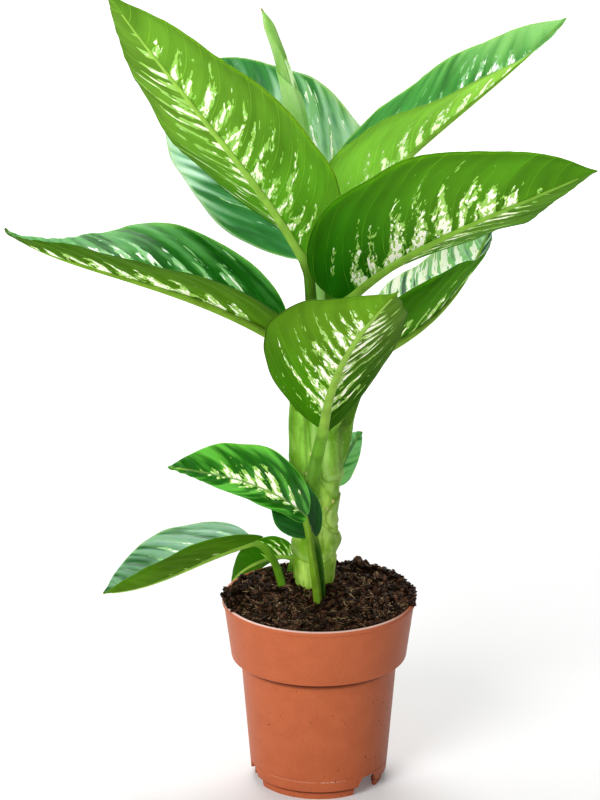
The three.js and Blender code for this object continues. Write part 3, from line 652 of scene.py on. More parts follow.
def blade_material(name, leaf, seed):
    """Green on both faces, with side veins and cream splashes that follow them out from the rib."""
    tree = BladeTree(name, leaf, seed)
    under = tree.under
    main = tree.vein_lines(1.0, 0.035)
    fine = tree.vein_lines(5.0, 0.3)
    faint = tree.ramp(tree.noise(tree.stretch(tree.vein, (0.4, 0.6, 1)), 1.0, 2), 0.3, 0.75)
    paler = tree.colour(under, dimmed(leaf["upper"], 2.2), dimmed(leaf["under"], 1.9))
    colour = tree.colour(under, upper_green(tree, leaf), lower_green(tree, leaf))
    colour = tree.painted(colour, paler, tree.times(main, faint), 0.8)
    colour = tree.painted(colour, paler, fine, 0.05)

    pale, splash = splashes(tree, leaf["marks"])
    rims = tree.colour(under, COOL_GREEN if leaf["cool"] else PALE_GREEN, PALE_GREEN)
    cream = tree.colour(under, COOL_CREAM if leaf["cool"] else CREAM, CREAM)
    colour = tree.colour(splash, tree.colour(pale, colour, rims), cream)

    rib = tree.ramp(tree.math("ABSOLUTE", tree.off_rib), 0.17, 0.1)
    rib_green = tree.colour(under, between(leaf["upper"], PALE_GREEN, 0.3), leaf["under"])
    colour = tree.painted(colour, rib_green, rib, 0.8)
    # Painted shade along the lower face's margin, and painted sheen along the upper face's margin
    upper_edge = between(leaf["upper"], leaf["sheen_colour"], 0.7)
    edge = tree.colour(under, upper_edge, dimmed(leaf["under"], 0.25))
    colour = tree.painted(colour, edge, tree.ramp(tree.out, 0.968, 0.985), 0.8)

    relief = tree.plus(main, tree.times(tree.noise(tree.vein, 26.0, 2), 0.25))
    relief = tree.times(tree.times_plus(fine, 0.3, relief), tree.ramp(tree.out, 1.0, 0.6))
    tree.bump(tree.times(relief, tree.times_plus(under, 2.0, -1.0)), 0.0002, 0.5)
    dull = tree.times_plus(under, 0.2, 0.26)
    tree.set(Base_Color=colour, Roughness=tree.times_plus(tree.tone, 0.2, dull))
    above = tree.math("SUBTRACT", 1.0, under)
    tree.set(Specular_IOR_Level=tree.times_plus(above, tree.per_half(leaf["gloss"]), 0.008))
    if "coat" in leaf:
        tree.set(Coat_Weight=tree.times(above, tree.per_half(leaf["coat"])), Coat_Roughness=0.12)
    # Painted light: the faces glow as the table's glow says, and the splashes glow a little more.
    glow_above, glow_below = leaf["glow"]
    glow = tree.times_plus(under, glow_below - glow_above, glow_above)
    tree.set(Emission_Color=colour, Emission_Strength=tree.times_plus(splash, 0.18, glow))
    tree.soften(0.55, 0.1)
    return tree.material


def stalk_material(name, light, pale):
    """Petiole and rib: fine lengthwise stripes on a juicy green that is paler along the rib."""
    tree = Tree(name + "_stalk")
    vein = tree.attribute("vein")
    on_rib, _, _ = tree.split(tree.attribute("place"))
    stripes = tree.noise(tree.stretch(vein, (0.12, 3.0, 3.0)), 1.0, 3)
    blotch = tree.noise(vein, 0.7, 3)
    base = tree.colour(on_rib, light, pale)
    dark = tree.colour(on_rib, dimmed(light, 0.65), dimmed(pale, 0.75))
    colour = tree.colour(tree.ramp(blotch, 0.3, 0.7), dark, base)
    bright = between(pale, (0.5, 0.8, 0.25), 0.3)
    colour = tree.painted(colour, bright, tree.ramp(stripes, 0.45, 0.75), 0.3)
    tree.bump(stripes, 0.0003, 0.5)
    tree.set(Base_Color=colour, Roughness=0.45, Specular_IOR_Level=0.01)
    # Painted light: the rib glows a little.
    tree.set(Emission_Color=colour, Emission_Strength=tree.times(on_rib, 0.12))
    tree.soften(0.25, 0.1)
    return tree.material


def make_leaf(name, leaf, seed):
    materials = [blade_material(name, leaf, seed), stalk_material(name, leaf["stalk"], leaf["pale"])]
    points, faces, vein, place = blade_mesh(leaf, seed)
    rings, petiole_rows = stalk_rings(leaf)
    tube_points, tube_faces = loft(rings)
    lengths = np.linalg.norm(np.diff(rings.mean(axis=1), axis=0), axis=1)
    down = np.concatenate([[0], np.cumsum(lengths)])[:, None] / 10
    turn = once_round(rings.shape[1])
    tube_vein = triples(down, 0.5 * np.cos(turn), 0.5 * np.sin(turn)).reshape(-1, 3)
    on_rib = smooth(down, 0.85 * down[petiole_rows], 1.15 * down[petiole_rows])
    tube_place = triples(on_rib, 0 * turn, 0).reshape(-1, 3)
    count = len(points)
    obj = add_mesh(
        name + "_piece",
        np.concatenate([points, tube_points]),
        faces + [[i + count for i in face] for face in tube_faces],
        materials,
        {"vein": np.concatenate([vein, tube_vein]), "place": np.concatenate([place, tube_place])},
        [0] * len(faces) + [1] * len(tube_faces),
    )
    finish_piece(obj, "offshoot_green" if name.startswith("offshoot") else "leaf_green", name)


for index, (leaf_name, leaf_values) in enumerate(LEAVES.items()):
    make_leaf(leaf_name, leaf_values, index + 1)


# New leaf: still rolled, with the lip of its outer turn along one side. `radii` gives the radius at each
# share of the length. The outer turn stands out by `wrap` up to `wrap_end`, and its free edge by `lip`.

NEW_LEAF = dict(
    centre=[[0, 17, 386], [-1, 18, 470], [-8, 22, 600], [-49, 26, 688]],
    radii=[
        [0, 4], [0.4, 6.5], [0.7, 8.4], [0.8, 6], [0.9, 4.8],
        [0.945, 4.8], [0.967, 3], [0.985, 1.2], [1, 0.6],
    ],
    lip=1.2,
    wrap=0.7,
    wrap_end=0.795,
)


def make_new_leaf():
    rows, sides = 340, 96
    t = np.linspace(0, 1, rows)
    centre = bezier(NEW_LEAF["centre"], t)
    along = unit(bezier_slope(NEW_LEAF["centre"], t))
    across = unit(np.array([0, -1.0, 0]) + along * along[:, 1:2])
    third = np.cross(along, across)
    where, sizes = np.array(NEW_LEAF["radii"]).T
    radius = np.interp(t, where, sizes)
    radius = np.convolve(np.pad(radius, 4, mode="edge"), np.ones(9) / 9, mode="valid")
    turn = np.arange(sides) / (sides - 1)
    t_grid = t[:, None] + 0 * turn
    angle = 2 * math.pi * turn[None, :] * (sides - 1) / sides + 1.2 - 0.8 * t_grid
    lip = NEW_LEAF["lip"] * turn[None, :] ** 3 * np.sin(math.pi * np.clip((t_grid - 0.5) * 2, 0, 1))
    facing = (angle + math.pi) % (2 * math.pi) - math.pi
    margin = NEW_LEAF["wrap_end"] - 0.035 * np.sin(facing) - 0.03 * bell(facing, 1.9, 0.5)
    wrapped = smooth(margin - t_grid, 0.0, 0.004)
    flare = 0.5 * wrapped * np.exp(-np.clip(margin - t_grid, 0, 1) / 0.012)
    raised = smooth(t_grid, 0.82, 0.86) * (1 - smooth(t_grid, 0.94, 0.97))
    ridge = 0.5 * bell(facing, -0.75, 0.2) * raised
    r = (radius[:, None] + lip + NEW_LEAF["wrap"] * wrapped + flare + ridge)[..., None]
    rings = (
        centre[:, None]
        + across[:, None] * r * np.cos(angle)[..., None]
        + third[:, None] * r * np.sin(angle)[..., None]
    )
    points, faces = loft(rings)
    edge = wrapped * bell(margin - t_grid, 0.002, 0.0035)
    attributes = {
        "vein": triples(t_grid * 32, facing, 0).reshape(-1, 3),
        "place": triples(edge, t_grid, wrapped).reshape(-1, 3),
    }
    obj = add_mesh("leaf_new_piece", points, faces, [new_leaf_material()], attributes, sharp=50)
    finish_piece(obj, "new_leaf_green", "leaf_new")


def new_leaf_material():
    tree = Tree("new_leaf")
    read = tree.attribute("vein")
    _, round_it, _ = tree.split(read)
    rim, height, outer = tree.split(tree.attribute("place"))
    tone = tree.noise(tree.stretch(read, (0.35, 0.8, 1)), 1.0, 3)
    inner = tree.colour(tree.ramp(tone, 0.3, 0.7), (0.24, 0.54, 0.08), (0.44, 0.75, 0.22))
    wrap = tree.colour(tree.ramp(tone, 0.3, 0.7), (0.4, 0.8, 0.18), (0.58, 0.93, 0.34))
    colour = tree.colour(outer, inner, wrap)
    stripes = tree.noise(tree.stretch(read, (0.4, 6.0, 1)), 1.0, 2)
    colour = tree.painted(colour, (0.62, 0.82, 0.46), tree.ramp(stripes, 0.5, 0.7), 0.35)
    # Painted highlight along the ridge of the rolled edge, high up on the leaf
    ridge_highlight = tree.ramp(tree.math("ABSOLUTE", tree.plus(round_it, 0.75)), 0.22, 0.05)
    ridge_highlight = tree.times(ridge_highlight, tree.ramp(height, 0.82, 0.88))
    colour = tree.painted(colour, (0.66, 0.8, 0.42), ridge_highlight, 0.6)
    spots = tree.noise(tree.stretch(read, (0.5, 2.4, 1)), 1.0, 4, 0.6)
    right = tree.times(tree.ramp(round_it, 0.1, 0.7), tree.ramp(height, 0.72, 0.8))
    right = tree.times(right, tree.ramp(height, 0.87, 0.83))
    cream = tree.ramp(tree.times_plus(right, 0.3, spots), 0.72, 0.76)
    colour = tree.colour(cream, colour, (0.7, 0.92, 0.5))
    colour = tree.painted(colour, (0.03, 0.2, 0.012), rim, 0.85)
    tip = tree.ramp(height, 0.985, 1.0)
    colour = tree.colour(tip, colour, (0.35, 0.3, 0.08))
    tree.bump(stripes, 0.0003, 0.4)
    tree.set(Base_Color=colour, Roughness=0.42, Specular_IOR_Level=0.02)
    # Painted light: the cream patch glows, and the rest of the leaf a little.
    tree.set(Emission_Color=colour, Emission_Strength=tree.times_plus(cream, 0.35, 0.06))
    tree.soften(0.3, 0.15)
    return tree.material


make_new_leaf()


# Stem: one surface round the cane's axis, pushed out by the leaf bases that clasp it

# The cane's axis and its radius with the node rings, as [x, y, z, radius]
CANE = np.array([
    [-3, 27, 112, 17], [-4, 26, 172, 17.5], [-4, 25, 198, 20], [-4, 25, 200, 19], [-3, 24, 213, 21.5],
    [-3, 24, 219, 19.5], [-3, 23, 226, 20], [-3, 23, 229, 18.8], [-2, 22, 262, 19.5], [0, 21, 278, 20.5],
    [0, 20, 281, 20], [-1, 18, 320, 19], [-1, 17, 360, 16], [0, 16, 392, 12],
], float)
STEM_TOP = 392
STEM_FOOT = 140

# Margins of the old leaf bases, as lines of [x, z] on the stem's front. The side on the left of each line
# stands out by `step`, which fades over `fade`. `dark` is painted shade in the corner below it, `brown`
# the brown of that corner, and `glow` is how pale the swelling above it is.
MARGINS = [
    dict(line=[[2.8, 312], [1.6, 291], [2.8, 279], [6.7, 275.2], [17.7, 275], [21, 277.5]],
         step=1.7, fade=9, dark=0.3, brown=0.5, glow=0.9),
    dict(line=[[20.5, 282], [20.9, 300], [20.9, 316], [24.2, 322], [28, 328]],
         step=1.2, fade=8, dark=0.45, brown=0, glow=0.5),
    dict(line=[[1.6, 275], [5.8, 268], [10.1, 260.5], [13, 257]],
         step=1.1, fade=8, dark=0.25, brown=0, glow=0.4),
    dict(line=[[18.5, 259], [11.8, 252], [6.2, 243.6], [5.6, 237.3], [11, 228.3], [17, 231.5]],
         step=1.6, fade=9, dark=0.3, brown=0.2, glow=0.7),
    dict(line=[[20, 218.5], [11.9, 223.7], [6.8, 229.2], [2.5, 235], [-6, 237]],
         step=1.5, fade=10, dark=0.3, brown=0.2, glow=0.5),
    dict(line=[[12.8, 204], [16.5, 210.5], [20, 216.5]], step=1.8, fade=9, dark=0.25, brown=0.8, glow=0.6),
    dict(line=[[-24, 206], [-16, 200], [1, 197], [7, 198.8], [13.5, 203]],
         step=1.2, fade=8, dark=0.25, brown=0.5, glow=0.4),
    dict(line=[[-6.9, 302], [-8, 312.7], [-9.4, 327], [-11, 350]],
         step=1.1, fade=9, dark=0.45, brown=0, glow=0.2),
    dict(line=[[-10.6, 282], [-6.9, 300]], step=0.9, fade=8, dark=0.6, brown=0, glow=0.2),
    dict(line=[[-1.8, 303], [-1.2, 325], [0, 350]], step=0, fade=9, dark=0, brown=0, glow=0.9),
]
# Buds on the stem's front, each as [x, z, size]
BUDS = [[-6.9, 301.5, 1.3], [-10.6, 282.3, 1.3], [11.8, 254.5, 1.1], [6.7, 249, 0.9], [9.5, 246, 1.0]]


def margin_distance(x, z, line):
    """How far each point lies to the left of a line, and how much it lies abreast of it, from 0 to 1."""
    best = np.full(x.shape, 1e9)
    signed = np.zeros(x.shape)
    abreast = np.zeros(x.shape)
    line = np.array(line, float)
    for k, (a, b) in enumerate(zip(line, line[1:])):
        length = np.hypot(*(b - a))
        ahead = (b - a) / length
        t = (x - a[0]) * ahead[0] + (z - a[1]) * ahead[1]
        near = np.clip(t, 0, length)
        away = np.hypot(x - a[0] - near * ahead[0], z - a[1] - near * ahead[1])
        left = ahead[0] * (z - a[1]) - ahead[1] * (x - a[0])
        beyond = np.zeros(x.shape)
        if k == 0:
            beyond = np.maximum(beyond, -t)
        if k == len(line) - 2:
            beyond = np.maximum(beyond, t - length)
        closer = away < best
        signed = np.where(closer, np.sign(left) * away, signed)
        abreast = np.where(closer, bell(beyond, 0, 2.5), abreast)
        best = np.minimum(best, away)
    return signed, abreast


def stem_envelope(z, angle, centre, ray):
    """The cane's radius in each direction, pushed out by the leaf bases, and the creases between them."""
    rho = np.repeat(np.interp(z, CANE[:, 2], CANE[:, 3])[:, None], len(angle), axis=1)
    owner = np.zeros(rho.shape)
    for k, leaf in enumerate(v for v in LEAVES.values() if v["sheath"] > 0):
        t = np.linspace(0, leaf["sheath"] * 1.05, 40)
        path = bezier(leaf["petiole"], t)
        inside = (z >= path[0, 2]) & (z <= path[-1, 2])
        x = np.interp(z, path[:, 2], path[:, 0]) - centre[:, 0]
        y = np.interp(z, path[:, 2], path[:, 1]) - centre[:, 1]
        share = np.interp(z, path[:, 2], t / leaf["sheath"])
        r = mix(*leaf["radius"], share * leaf["sheath"])
        r = r + mix(2.4, 1.0, share) * (1 - smooth(share, 0.75, 1.0))
        r = r * mix(0.55, 1.0, smooth(share, 0.0, 0.3))
        forward = x[:, None] * ray[:, 0] + y[:, None] * ray[:, 1]
        inner = r[:, None] ** 2 - (x**2 + y**2)[:, None] + forward**2
        reach = np.where(inside[:, None] & (inner > 0), forward + np.sqrt(np.clip(inner, 0, None)), 0)
        owner = np.where(reach > rho, k + 1, owner)
        rho = np.maximum(rho, reach)
    change = (owner != np.roll(owner, 1, axis=1)).astype(float)
    crease = np.zeros(rho.shape)
    for shift, weight in ((-2, 0.3), (-1, 0.8), (0, 1.0), (1, 0.6), (2, 0.2)):
        crease = np.maximum(crease, weight * np.roll(change, shift, axis=1))
    return rho, crease


def make_stem():
    rows, sides = 330, 190
    z = np.linspace(STEM_FOOT, STEM_TOP, rows)
    centre = np.stack([np.interp(z, CANE[:, 2], CANE[:, 0]), np.interp(z, CANE[:, 2], CANE[:, 1])], -1)
    angle = once_round(sides)
    ray = np.stack([np.sin(angle), -np.cos(angle)], -1)
    rho, dark = stem_envelope(z, angle, centre, ray)
    # The creases between the leaf bases are dented, and their darkness is kept as painted shade.
    rho -= 0.4 * dark
    dark *= 0.35
    brown = np.zeros(rho.shape)
    glow = np.zeros(rho.shape)
    height = z[:, None] + 0 * rho
    front = smooth(-ray[:, 1], -0.4, 0.0)[None, :]
    for margin in MARGINS:
        x = centre[:, 0:1] + rho * ray[:, 0]
        left, abreast = margin_distance(x, height, margin["line"])
        abreast = abreast * front
        rise = smooth(left, -0.5, 0.6) * np.exp(-np.clip(left, 0, None) / margin["fade"])
        rho += margin["step"] * rise * abreast
        # Painted shade in the corner below each margin, with the brown of that corner
        corner_line = bell(left, -0.3, 0.5) * abreast
        dark = np.maximum(dark, margin["dark"] * corner_line)
        brown = np.maximum(brown, margin["brown"] * corner_line)
        glow = np.maximum(glow, margin["glow"] * bell(left, 3.5, 2.6) * abreast)
    x = centre[:, 0:1] + rho * ray[:, 0]
    bud = np.zeros(rho.shape)
    for bud_x, bud_z, size in BUDS:
        away = np.hypot(x - bud_x, 0.7 * (height - bud_z)) / size
        bud = np.maximum(bud, np.exp(-(away**4)) * front)
    rho += 0.8 * bud
    points = triples(centre[:, 0:1] + rho * ray[:, 0], centre[:, 1:2] + rho * ray[:, 1], height)
    rho_noise = 0.35 * value_noise(points, 11, 4) + 0.15 * value_noise(points, 4, 5)
    points[..., 0] += rho_noise * ray[:, 0]
    points[..., 1] += rho_noise * ray[:, 1]
    flat_points, faces = loft(points)
    attributes = {
        "place": triples(glow, dark, (height - STEM_FOOT) / 100).reshape(-1, 3),
        "spots": triples(bud, brown, 0).reshape(-1, 3),
    }
    obj = add_mesh("stem_piece", flat_points, faces, [stem_material()], attributes)
    finish_piece(obj, "stem_green", "stem")


def stem_material():
    tree = Tree("stem")
    glow, dark, height = tree.split(tree.attribute("place"))
    bud, brown, _ = tree.split(tree.attribute("spots"))
    position = tree.position()
    stripes = tree.noise(tree.stretch(position, (1, 1, 0.06)), 260.0, 3)
    blotch = tree.noise(tree.stretch(position, (1, 1, 0.5)), 75.0, 3)
    low = tree.colour(tree.ramp(blotch, 0.35, 0.65), (0.21, 0.46, 0.02), (0.6, 0.92, 0.16))
    high = tree.colour(tree.ramp(blotch, 0.35, 0.65), (0.15, 0.4, 0.015), (0.34, 0.7, 0.08))
    colour = tree.colour(tree.ramp(height, 1.0, 1.5), low, high)
    colour = tree.painted(colour, (0.2, 0.42, 0.04), tree.ramp(stripes, 0.5, 0.62), 0.4)
    colour = tree.painted(colour, (0.52, 0.8, 0.24), glow, 0.65)
    # Painted shade: the stem is darker towards its sides.
    off_axis = tree.math("ABSOLUTE", tree.plus(tree.split(position)[0], 0.003))
    turned_away = tree.math("SUBTRACT", 1.0, tree.ramp(off_axis, 0.01, 0.022))
    colour = tree.scaled(colour, tree.times_plus(turned_away, 0.4, 0.6))
    specks = tree.noise(position, 420.0, 1)
    colour = tree.painted(colour, (0.5, 0.56, 0.22), tree.ramp(specks, 0.68, 0.74), 0.5)
    stains = tree.noise(position, 380.0, 2)
    colour = tree.painted(colour, (0.09, 0.06, 0.01), tree.ramp(stains, 0.7, 0.76), 0.5)
    # Painted shade in the creases and in the corners below the margins
    colour = tree.colour(dark, colour, (0.05, 0.13, 0.01))
    colour = tree.painted(colour, (0.16, 0.07, 0.015), brown, 0.7)
    colour = tree.colour(bud, colour, (0.75, 0.72, 0.3))
    tree.bump(tree.times_plus(stripes, 0.6, blotch), 0.0006, 0.5)
    tree.set(Base_Color=colour, Roughness=0.42, Specular_IOR_Level=0.03)
    # Painted light: the whole stem glows a little.
    tree.set(Emission_Color=colour, Emission_Strength=0.08)
    tree.soften(0.2, 0.15)
    return tree.material


make_stem()


# Pot: a lathed shell with a rolled lip, a wide collar and a skirt, cut by three notches and six holes

# The pot's section, from the rim down. The skirt is the wall between the floor and the narrower foot ring,
# and the well is the middle of the floor, which reaches down to the surface that the pot stands on.
POT_HEIGHT = 169.5
RIM_RADIUS = 85
LIP_HEIGHT = 4.5
COLLAR_TOP_RADIUS = 83.6
COLLAR_FOOT_RADIUS = 77
COLLAR_FOOT_HEIGHT = 116
BODY_TOP_RADIUS = 69
BODY_FOOT_RADIUS = 61
FLOOR_HEIGHT = 17.5
SKIRT_HEIGHT = 8
SKIRT_RADIUS = 60
FOOT_RADIUS = 56.5
FOOT_WIDTH = 2.6
WELL_RADIUS = 16
WALL = 1.9
NOTCHES = 3
NOTCH_ANGLE = -44
NOTCH_TOP = 14
NOTCH_FOOT = 26
NOTCH_CORNER = 2.5
HOLES = 6
HOLE_RADIUS = 4.5
HOLE_CIRCLE = 42
POT_SIDES = 200
HOLE_SIDES = 24


def corner(a, b, c, radius, steps=4):
    """Points that round the corner b of a profile between a and c."""
    a, b, c = (np.array(p, float) for p in (a, b, c))
    start = b + unit(a - b) * radius
    end = b + unit(c - b) * radius
    t = np.linspace(0, 1, steps)[:, None]
    return ((1 - t) ** 2 * start + 2 * (1 - t) * t * b + t**2 * end).tolist()


def pot_profile():
    """The wall's section as [radius, height], from the middle of the underside round to the inside."""
    sharp = [
        ([0, 0], 0), ([WELL_RADIUS, 0], 1), ([WELL_RADIUS + 4, FLOOR_HEIGHT], 1.5),
        ([SKIRT_RADIUS - WALL, FLOOR_HEIGHT], 1),
        ([SKIRT_RADIUS - WALL - 0.3, SKIRT_HEIGHT + WALL], 0.6),
        ([FOOT_RADIUS - FOOT_WIDTH, SKIRT_HEIGHT + WALL], 0.6), ([FOOT_RADIUS - FOOT_WIDTH, 0], 0.5),
        ([FOOT_RADIUS, 0], 0.7), ([FOOT_RADIUS, SKIRT_HEIGHT], 0.6), ([SKIRT_RADIUS, SKIRT_HEIGHT], 0.8),
        ([BODY_FOOT_RADIUS - 0.1, FLOOR_HEIGHT + 0.2], 0.3),
        ([BODY_FOOT_RADIUS - 0.5, FLOOR_HEIGHT + 0.7], 0.3),
        ([BODY_FOOT_RADIUS, FLOOR_HEIGHT + 1.2], 0.3), ([BODY_TOP_RADIUS, COLLAR_FOOT_HEIGHT], 0.5),
        ([COLLAR_FOOT_RADIUS, COLLAR_FOOT_HEIGHT], 1.1),
        ([COLLAR_TOP_RADIUS, POT_HEIGHT - LIP_HEIGHT], 0.3),
        ([RIM_RADIUS, POT_HEIGHT - LIP_HEIGHT + 0.2], 0.8), ([RIM_RADIUS, POT_HEIGHT], 1.5),
        ([RIM_RADIUS - 3, POT_HEIGHT], 1.2), ([COLLAR_TOP_RADIUS - WALL, POT_HEIGHT - LIP_HEIGHT], 1),
        ([COLLAR_FOOT_RADIUS - WALL, COLLAR_FOOT_HEIGHT + WALL], 1),
        ([BODY_TOP_RADIUS - WALL, COLLAR_FOOT_HEIGHT + WALL - 1], 0.8),
        ([BODY_FOOT_RADIUS - WALL, FLOOR_HEIGHT + 3], 2),
        ([BODY_FOOT_RADIUS - WALL - 2, FLOOR_HEIGHT + WALL], 1),
        ([WELL_RADIUS + 2, FLOOR_HEIGHT + WALL], 1.2),
        ([WELL_RADIUS - 2, WALL], 1), ([0, WALL], 0),
    ]
    profile = [sharp[0][0]]
    for (a, _), (b, radius), (c, _) in zip(sharp, sharp[1:], sharp[2:]):
        profile += corner(a, b, c, radius)
    profile.append(sharp[-1][0])
    return np.array(profile)


def prism(outline, low, high):
    """A closed prism: outline is [across, height], and it runs outwards along X from low to high."""
    count = len(outline)
    points = [[x, a, h] for x in (low, high) for a, h in outline]
    faces = [list(range(count))[::-1], list(range(count, 2 * count))]
    faces += [[i, (i + 1) % count, count + (i + 1) % count, count + i] for i in range(count)]
    return np.array(points, float), faces


def turned(points, degrees):
    """Points turned round the pot's axis."""
    c, s = math.cos(math.radians(degrees)), math.sin(math.radians(degrees))
    return points @ np.array([[c, s, 0], [-s, c, 0], [0, 0, 1]])


def pot_cutters():
    """The prisms that cut the notches in the foot ring, and the tubes that cut the holes in the floor."""
    top = FLOOR_HEIGHT - 0.8
    half = NOTCH_FOOT / 2
    turn = np.linspace(0, math.pi / 2, 5)
    right = [[half + NOTCH_CORNER, -1]]
    right += [
        [half + NOTCH_CORNER * (1 - math.sin(a)), NOTCH_CORNER * (1 - math.cos(a))] for a in turn
    ]
    right += corner([half - 0.5, 4], [half - 1.3, SKIRT_HEIGHT], [NOTCH_TOP / 2, top], 1.2)
    right += corner([half - 1.3, SKIRT_HEIGHT], [NOTCH_TOP / 2, top], [0, top], 1.5)
    outline = right + [[-across, height] for across, height in reversed(right)]
    shapes = []
    for i in range(NOTCHES):
        points, faces = prism(outline, FOOT_RADIUS - 10, FOOT_RADIUS + 10)
        shapes.append((turned(points, NOTCH_ANGLE + 360 / NOTCHES * i), faces))
    angle = once_round(HOLE_SIDES)
    across, along = HOLE_CIRCLE + HOLE_RADIUS * np.cos(angle), HOLE_RADIUS * np.sin(angle)
    for i in range(HOLES):
        points, faces = loft([triples(across, along, z) for z in (FLOOR_HEIGHT - 5, FLOOR_HEIGHT + 5)])
        shapes.append((turned(points, 360 / HOLES * (i + 0.5)), faces))
    return shapes


def pot_material():
    tree = Tree("terracotta_plastic")
    position = tree.position()
    across, depth, height = tree.split(position)
    turn = tree.math("ARCTAN2", across, tree.times(depth, -1.0))

    def band(value, start, full, still_full, end):
        """1 between full and still_full, and fading to 0 at start and end."""
        return tree.times(tree.ramp(value, start, full), tree.ramp(value, end, still_full))

    mottle = tree.noise(position, 60.0, 4)
    grain = tree.noise(position, 700.0, 2)
    colour = tree.colour(tree.ramp(mottle, 0.25, 0.75), (0.53, 0.13, 0.05), (0.58, 0.147, 0.058))
    colour = tree.painted(colour, (0.36, 0.066, 0.02), tree.ramp(grain, 0.4, 0.75), 0.12)
    colour = tree.painted(colour, (0.6, 0.2, 0.1), tree.ramp(grain, 0.6, 0.4), 0.1)

    # Painted shade in the corners under the collar and above the foot and on the right side, and a painted
    # highlight along the lip
    # Painted shade in the corners under the collar and above the foot
    under_collar = band(height, 0.108, 0.1127, 0.1157, 0.1163)
    above_foot = band(height, 0.0045, 0.0068, 0.008, 0.0083)
    shaded_corners = tree.math("MAXIMUM", under_collar, above_foot)
    colour = tree.painted(colour, (0.06, 0.01, 0.003), shaded_corners, 0.85)
    # Painted shade: the pot is darker on its right side.
    right = band(turn, 0.3, 1.5, 1.9, 3.1)
    colour = tree.scaled(colour, tree.times_plus(right, -0.42, 1.0))
    # Painted highlight along the top of the lip on the lit side
    lit_side = band(turn, -2.2, -1.4, 0.5, 1.3)
    lip = tree.times(tree.ramp(height, 0.1683, 0.1692), lit_side)
    colour = tree.painted(colour, (1.0, 0.75, 0.68), lip, 0.7)

    # Scuffed mould line above the foot, at the front
    line = band(height, 0.0168, 0.0175, 0.0179, 0.0186)
    scuff = tree.noise(tree.stretch(position, (1, 1, 0.4)), 600.0, 3, 0.7)
    middle = band(turn, -0.02, 0.06, 0.36, 0.42)
    left = band(turn, -0.85, -0.75, -0.1, 0.0)
    worn = tree.times(tree.times(line, middle), tree.ramp(scuff, 0.45, 0.62))
    colour = tree.painted(colour, (0.7, 0.3, 0.18), tree.times(line, left), 0.4)
    colour = tree.painted(colour, (0.8, 0.55, 0.45), worn, 0.55)

    # Specks of soil below the lip and the collar, on the foot, and more of them on the right
    dust = tree.noise(position, 330.0, 3, 0.6)
    near_edge = tree.plus(tree.ramp(height, 0.125, 0.112), tree.ramp(height, 0.155, 0.168))
    near_edge = tree.math("MAXIMUM", near_edge, tree.ramp(height, 0.022, 0.008))
    near_edge = tree.times_plus(tree.times(right, right), 1.6, near_edge)
    dirt = tree.ramp(tree.times_plus(near_edge, 0.045, dust), 0.74, 0.76)
    colour = tree.colour(dirt, colour, (0.02, 0.012, 0.008))
    tree.bump(tree.times_plus(grain, 0.4, mottle), 0.0003, 0.35)
    tree.set(Base_Color=colour, Roughness=tree.times_plus(mottle, 0.1, 0.36))
    tree.set(Specular_IOR_Level=0.07)
    return tree.material


def make_pot():
    profile = pot_profile()
    angle = once_round(POT_SIDES)
    inner = profile[1:-1]
    rings = triples(inner[:, 0:1] * np.cos(angle), inner[:, 0:1] * np.sin(angle), inner[:, 1:2])
    points = np.concatenate([rings.reshape(-1, 3), [[0, 0, 0], [0, 0, WALL]]])
    last = len(inner) - 1
    faces = grid_faces(len(inner), POT_SIDES, closed=True)
    foot, floor = len(points) - 2, len(points) - 1
    for k in range(POT_SIDES):
        n = (k + 1) % POT_SIDES
        faces.append([foot, n, k])
        faces.append([floor, last * POT_SIDES + k, last * POT_SIDES + n])
    pot = add_mesh("pot_piece", points, faces, [pot_material()])
    cutters = []
    for cut_points, cut_faces in pot_cutters():
        cutter = add_mesh("cutter", cut_points, cut_faces, [])
        modifier = pot.modifiers.new("cut", "BOOLEAN")
        modifier.operation = "DIFFERENCE"
        modifier.solver = "EXACT"
        modifier.object = cutter
        cutters.append(cutter)
    graph = bpy.context.evaluated_depsgraph_get()
    cut = bpy.data.meshes.new_from_object(pot.evaluated_get(graph))
    pot.modifiers.clear()
    pot.data = cut
    for cutter in cutters:
        bpy.data.objects.remove(cutter)
    cut.polygons.foreach_set("use_smooth", [True] * len(cut.polygons))
    cut.set_sharp_from_angle(angle=math.radians(35))
    finish_piece(pot, "terracotta_plastic", "pot")


make_pot()


# Soil: an uneven surface covered in crumbs, chips and fibres

SOIL_EDGE_HEIGHT = 166
SOIL_MOUND = 10
SOIL_RADIUS = COLLAR_TOP_RADIUS - WALL - 0.5
DARK_TONES = [0.1, 0.2, 0.3, 0.45, 0.5]
# Loose crumbs: how many, how far they stay inside the soil's edge, their size and their tones
CRUMBS = [
    (4200, 1, 2.5, DARK_TONES),
    (520, 2, 4.4, [0.1, 0.2, 0.35]),
    (1500, 1, 1.2, [0.55, 0.6, 0.8, 0.95]),
]
# Crumbs spilled on the rim: how many, from which angle to which, and the height of the pile
SPILLS = [(900, 74, 165, 4.2), (330, -105, -62, 2.4)]
FIBRES = 850


def soil_height(x, y):
    reach = np.hypot(x, y) / COLLAR_TOP_RADIUS
    mound = SOIL_MOUND * np.exp(-(((x + 2) / 42) ** 2) - ((y - 28) / 38) ** 2)
    lumps = 1.3 * np.sin(x / 9 + 1) * np.cos(y / 8) + 0.8 * np.sin((x + y) / 5)
    clod = 13 * np.exp(-(((x - 35) / 7) ** 2) - ((y - 58) / 8) ** 2)
    return SOIL_EDGE_HEIGHT + mound + lumps * (1 - reach**4) + clod + 3 * reach**2


def soil_surface(x, y):
    """The fine surface: the form above, with lumps and pits."""
    where = triples(x, y, 0)
    rough = 1.7 * value_noise(where, 9, 21) + 1.2 * value_noise(where, 4.2, 22)
    rough = rough + 0.7 * value_noise(where, 2, 23)
    return soil_height(x, y) + rough * (1 - 0.5 * smooth(np.hypot(x, y), 74, 82))


